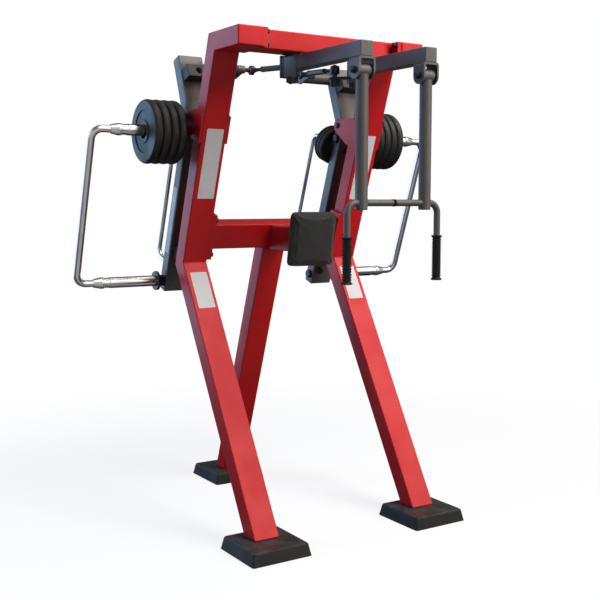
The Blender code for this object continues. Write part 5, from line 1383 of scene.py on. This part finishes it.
def build_grip(word, side, body):
    """A moulded grip: two flanges and straight columns of small studs."""
    foot = at(side * BAR_OUTER_X, CLEVIS_PIN_Y, GRIP_LOW_Z)
    tall = GRIP_TOP_Z - GRIP_LOW_Z
    skin = GRIP_R - 0.0006
    flange = GRIP_FLANGE_R
    profile = [
        (0.0008, 0.0), (flange - 0.002, 0.0), (flange, 0.002), (flange, 0.0055), (GRIP_R + 0.0008, 0.0085),
        (skin, 0.0115), (skin, tall - 0.0115), (GRIP_R + 0.0008, tall - 0.0085), (flange, tall - 0.0055),
        (flange, tall - 0.002), (flange - 0.002, tall), (BAR_R + 0.0002, tall), (0.0008, tall - 0.001),
    ]
    profile = eased(profile, 0.0005, 2)
    lathed("rubber_grip_" + word, GRIP_RUBBER, body, ["grip_" + word], profile, foot, UPRIGHT)
    step = (tall - 0.026) / STUD_RINGS
    angles = [2.0 * math.pi * spoke / STUD_COLUMNS for spoke in range(STUD_COLUMNS)]
    rings = []
    for k in range(STUD_RINGS):
        z = 0.013 + step * (k + 0.5)
        rings.append([foot + Vector((math.cos(a) * skin, math.sin(a) * skin, z)) for a in angles])
    bm = bmesh.new()
    bridged(bm, rings, capped=False)
    name = "grip_studs_" + word
    base = solid_mesh(bm, "grip_skin", 32.0)
    studs = grown(name, STUDS, base, GRIP_RUBBER, Radius=0.0023, Stretch=(1.0, 1.0, 1.7))
    piece(name, studs, GRIP_RUBBER, body)


# ---------------------------------------------------------------- studio


def build_world():
    """White behind the machine; dim light all round, cool from the left and warm from the right."""
    world = bpy.data.worlds.new("studio air")
    bpy.context.scene.world = world
    world.use_nodes = True
    tree = world.node_tree
    tree.nodes.clear()
    way = put(tree, "ShaderNodeTexCoord").outputs["Generated"]
    parts = put(tree, "ShaderNodeSeparateXYZ", {0: way}).outputs
    air = tint(tree, spread(tree, parts["X"], -1.0, 1.0), (0.50, 0.66, 1.0), (1.0, 0.93, 0.86))
    air = tint(tree, 1.0, air, spread(tree, parts["Z"], -0.4, 0.9, 0.35, 1.0), "MULTIPLY")
    dim = put(tree, "ShaderNodeBackground", {"Color": air, "Strength": 0.16}).outputs[0]
    low_band = spread(tree, parts["Z"], 0.05, 0.70, 0.62, 0.22)
    dark_side = spread(tree, towards(tree, way, TO_BACK_RIGHT), 0.60, 0.92, 1.0, 0.18)
    level = maths(tree, "MULTIPLY", low_band, dark_side)
    behind = spread(tree, towards(tree, way, TO_BACK_LEFT), 0.78, 0.97)
    cool = maths(tree, "MULTIPLY", behind, spread(tree, parts["Z"], 0.60, 0.28))
    mirror = tint(tree, 1.0, (1.0, 0.97, 0.94), level, "MULTIPLY")
    mirror = tint(tree, cool, mirror, (1.0, 1.70, 2.60))
    for aim, low, high, glow in SOFT_GLOWS:
        mirror = tint(tree, spread(tree, towards(tree, way, aim), low, high), mirror, glow)
    seen = put(tree, "ShaderNodeLightPath").outputs
    plain = tint(tree, seen["Is Glossy Ray"], (1.0, 1.0, 1.0), mirror)
    white = put(tree, "ShaderNodeBackground", {"Color": plain, "Strength": 1.0}).outputs[0]
    bright = maths(tree, "MAXIMUM", seen["Is Glossy Ray"], seen["Is Transmission Ray"])
    bright = maths(tree, "MAXIMUM", seen["Is Camera Ray"], bright)
    mixed = put(tree, "ShaderNodeMixShader", {0: bright, 1: dim, 2: white}).outputs[0]
    put(tree, "ShaderNodeOutputWorld", {"Surface": mixed})


def build_floor():
    """A pale floor: its own light for what sees it, and the machine's soft shadow."""
    bm = bmesh.new()
    bmesh.ops.create_grid(bm, x_segments=1, y_segments=1, size=30.0)
    mesh = bpy.data.meshes.new("studio_floor")
    bm.to_mesh(mesh)
    bm.free()
    floor = shown("studio_floor", mesh)
    look = bpy.data.materials.new("floor paint")
    look.use_nodes = True
    tree = look.node_tree
    tree.nodes.clear()
    where = put(tree, "ShaderNodeTexCoord").outputs["Object"]
    reach = put(tree, "ShaderNodeVectorMath", {0: where}, operation="LENGTH").outputs["Value"]
    way = put(tree, "ShaderNodeVectorMath", {0: where}, operation="NORMALIZE").outputs[0]
    seen = put(tree, "ShaderNodeLightPath").outputs
    matt = put(tree, "ShaderNodeBsdfDiffuse", {"Color": (0.24, 0.23, 0.22, 1.0)}).outputs[0]
    pale = put(tree, "ShaderNodeBsdfDiffuse", {"Color": (0.9, 0.9, 0.9, 1.0)}).outputs[0]
    glow = put(tree, "ShaderNodeEmission", {"Color": (1.0, 1.0, 1.0, 1.0), "Strength": 1.0}).outputs[0]
    fade = spread(tree, reach, 1.2, 3.5, 0.80, 1.0)
    open_floor = put(tree, "ShaderNodeMixShader", {0: fade, 1: pale, 2: glow}).outputs[0]
    front_left, back_right, back_left = (
        spread(tree, towards(tree, way, aim), low, high) for aim, low, high in (
            (TO_FRONT_LEFT, 0.45, 0.90), (TO_BACK_RIGHT, 0.40, 0.85), (TO_BACK_LEFT, 0.78, 0.96)))
    near = spread(tree, reach, 2.5, 11.0, 0.11, 0.42)
    lit = maths(tree, "MAXIMUM", near, maths(tree, "MULTIPLY", front_left, 0.42))
    kept = maths(tree, "SUBTRACT", 1.0, maths(tree, "MULTIPLY", back_right, 0.88))
    lit = maths(tree, "MULTIPLY", lit, kept)
    tone = tint(tree, 1.0, (0.97, 0.98, 1.0), lit, "MULTIPLY")
    far_left = maths(tree, "MULTIPLY", back_left, spread(tree, reach, 2.8, 8.0))
    tone = tint(tree, far_left, tone, (1.0, 1.35, 1.95))
    mirrored = put(tree, "ShaderNodeEmission", {"Color": tone, "Strength": 1.0}).outputs[0]
    straight = maths(tree, "MAXIMUM", seen["Is Camera Ray"], seen["Is Transmission Ray"])
    mixed = put(tree, "ShaderNodeMixShader", {0: seen["Is Glossy Ray"], 1: matt, 2: mirrored}).outputs[0]
    mixed = put(tree, "ShaderNodeMixShader", {0: straight, 1: mixed, 2: open_floor}).outputs[0]
    put(tree, "ShaderNodeOutputMaterial", {"Surface": mixed})
    mesh.materials.append(look)


def lamp(name, place, aim, power, colour):
    """A large square lamp turned towards a point, not itself mirrored in anything."""
    light = bpy.data.lights.new(name, "AREA")
    light.shape = "SQUARE"
    light.size = LAMP_SIZE
    light.energy = power
    light.color = colour
    made = shown(name, light)
    made.location = place
    made.rotation_euler = (Vector(aim) - Vector(place)).to_track_quat("-Z", "Y").to_euler()
    made.visible_glossy = False


def build_lights():
    lamp("key lamp", (1.5, -3.1, 5.3), (0.0, 0.0, 1.3), 350.0, (1.0, 0.955, 0.91))
    lamp("cool lamp", (-4.8, 2.7, 4.2), (0.0, 0.0, 1.6), 262.0, (0.44, 0.65, 1.0))
    lamp("fill lamp", (3.4, -4.4, 2.0), (0.0, 0.0, 1.1), 100.0, (1.0, 0.95, 0.90))


def build_camera():
    """The photograph's viewing angle."""
    data = bpy.data.cameras.new("camera")
    data.lens = 58.333
    data.sensor_width = 36.0
    made = shown("camera", data)
    made.location = at(-2.3967, -3.4686, 1.4380)
    made.rotation_euler = [math.radians(angle) for angle in (84.308, -0.03, -32.553)]
    bpy.context.scene.camera = made


def build_machine():
    build_frame()
    build_feet()
    build_pad()
    for word, side in SIDES.items():
        for build in (
            build_lever, build_side_rail, build_rear_rail, build_plates, build_link, build_arm,
            build_handle,
        ):
            build(word, side)


bpy.context.scene.view_settings.view_transform = "Standard"
build_camera()
build_world()
build_floor()
build_lights()
build_machine()
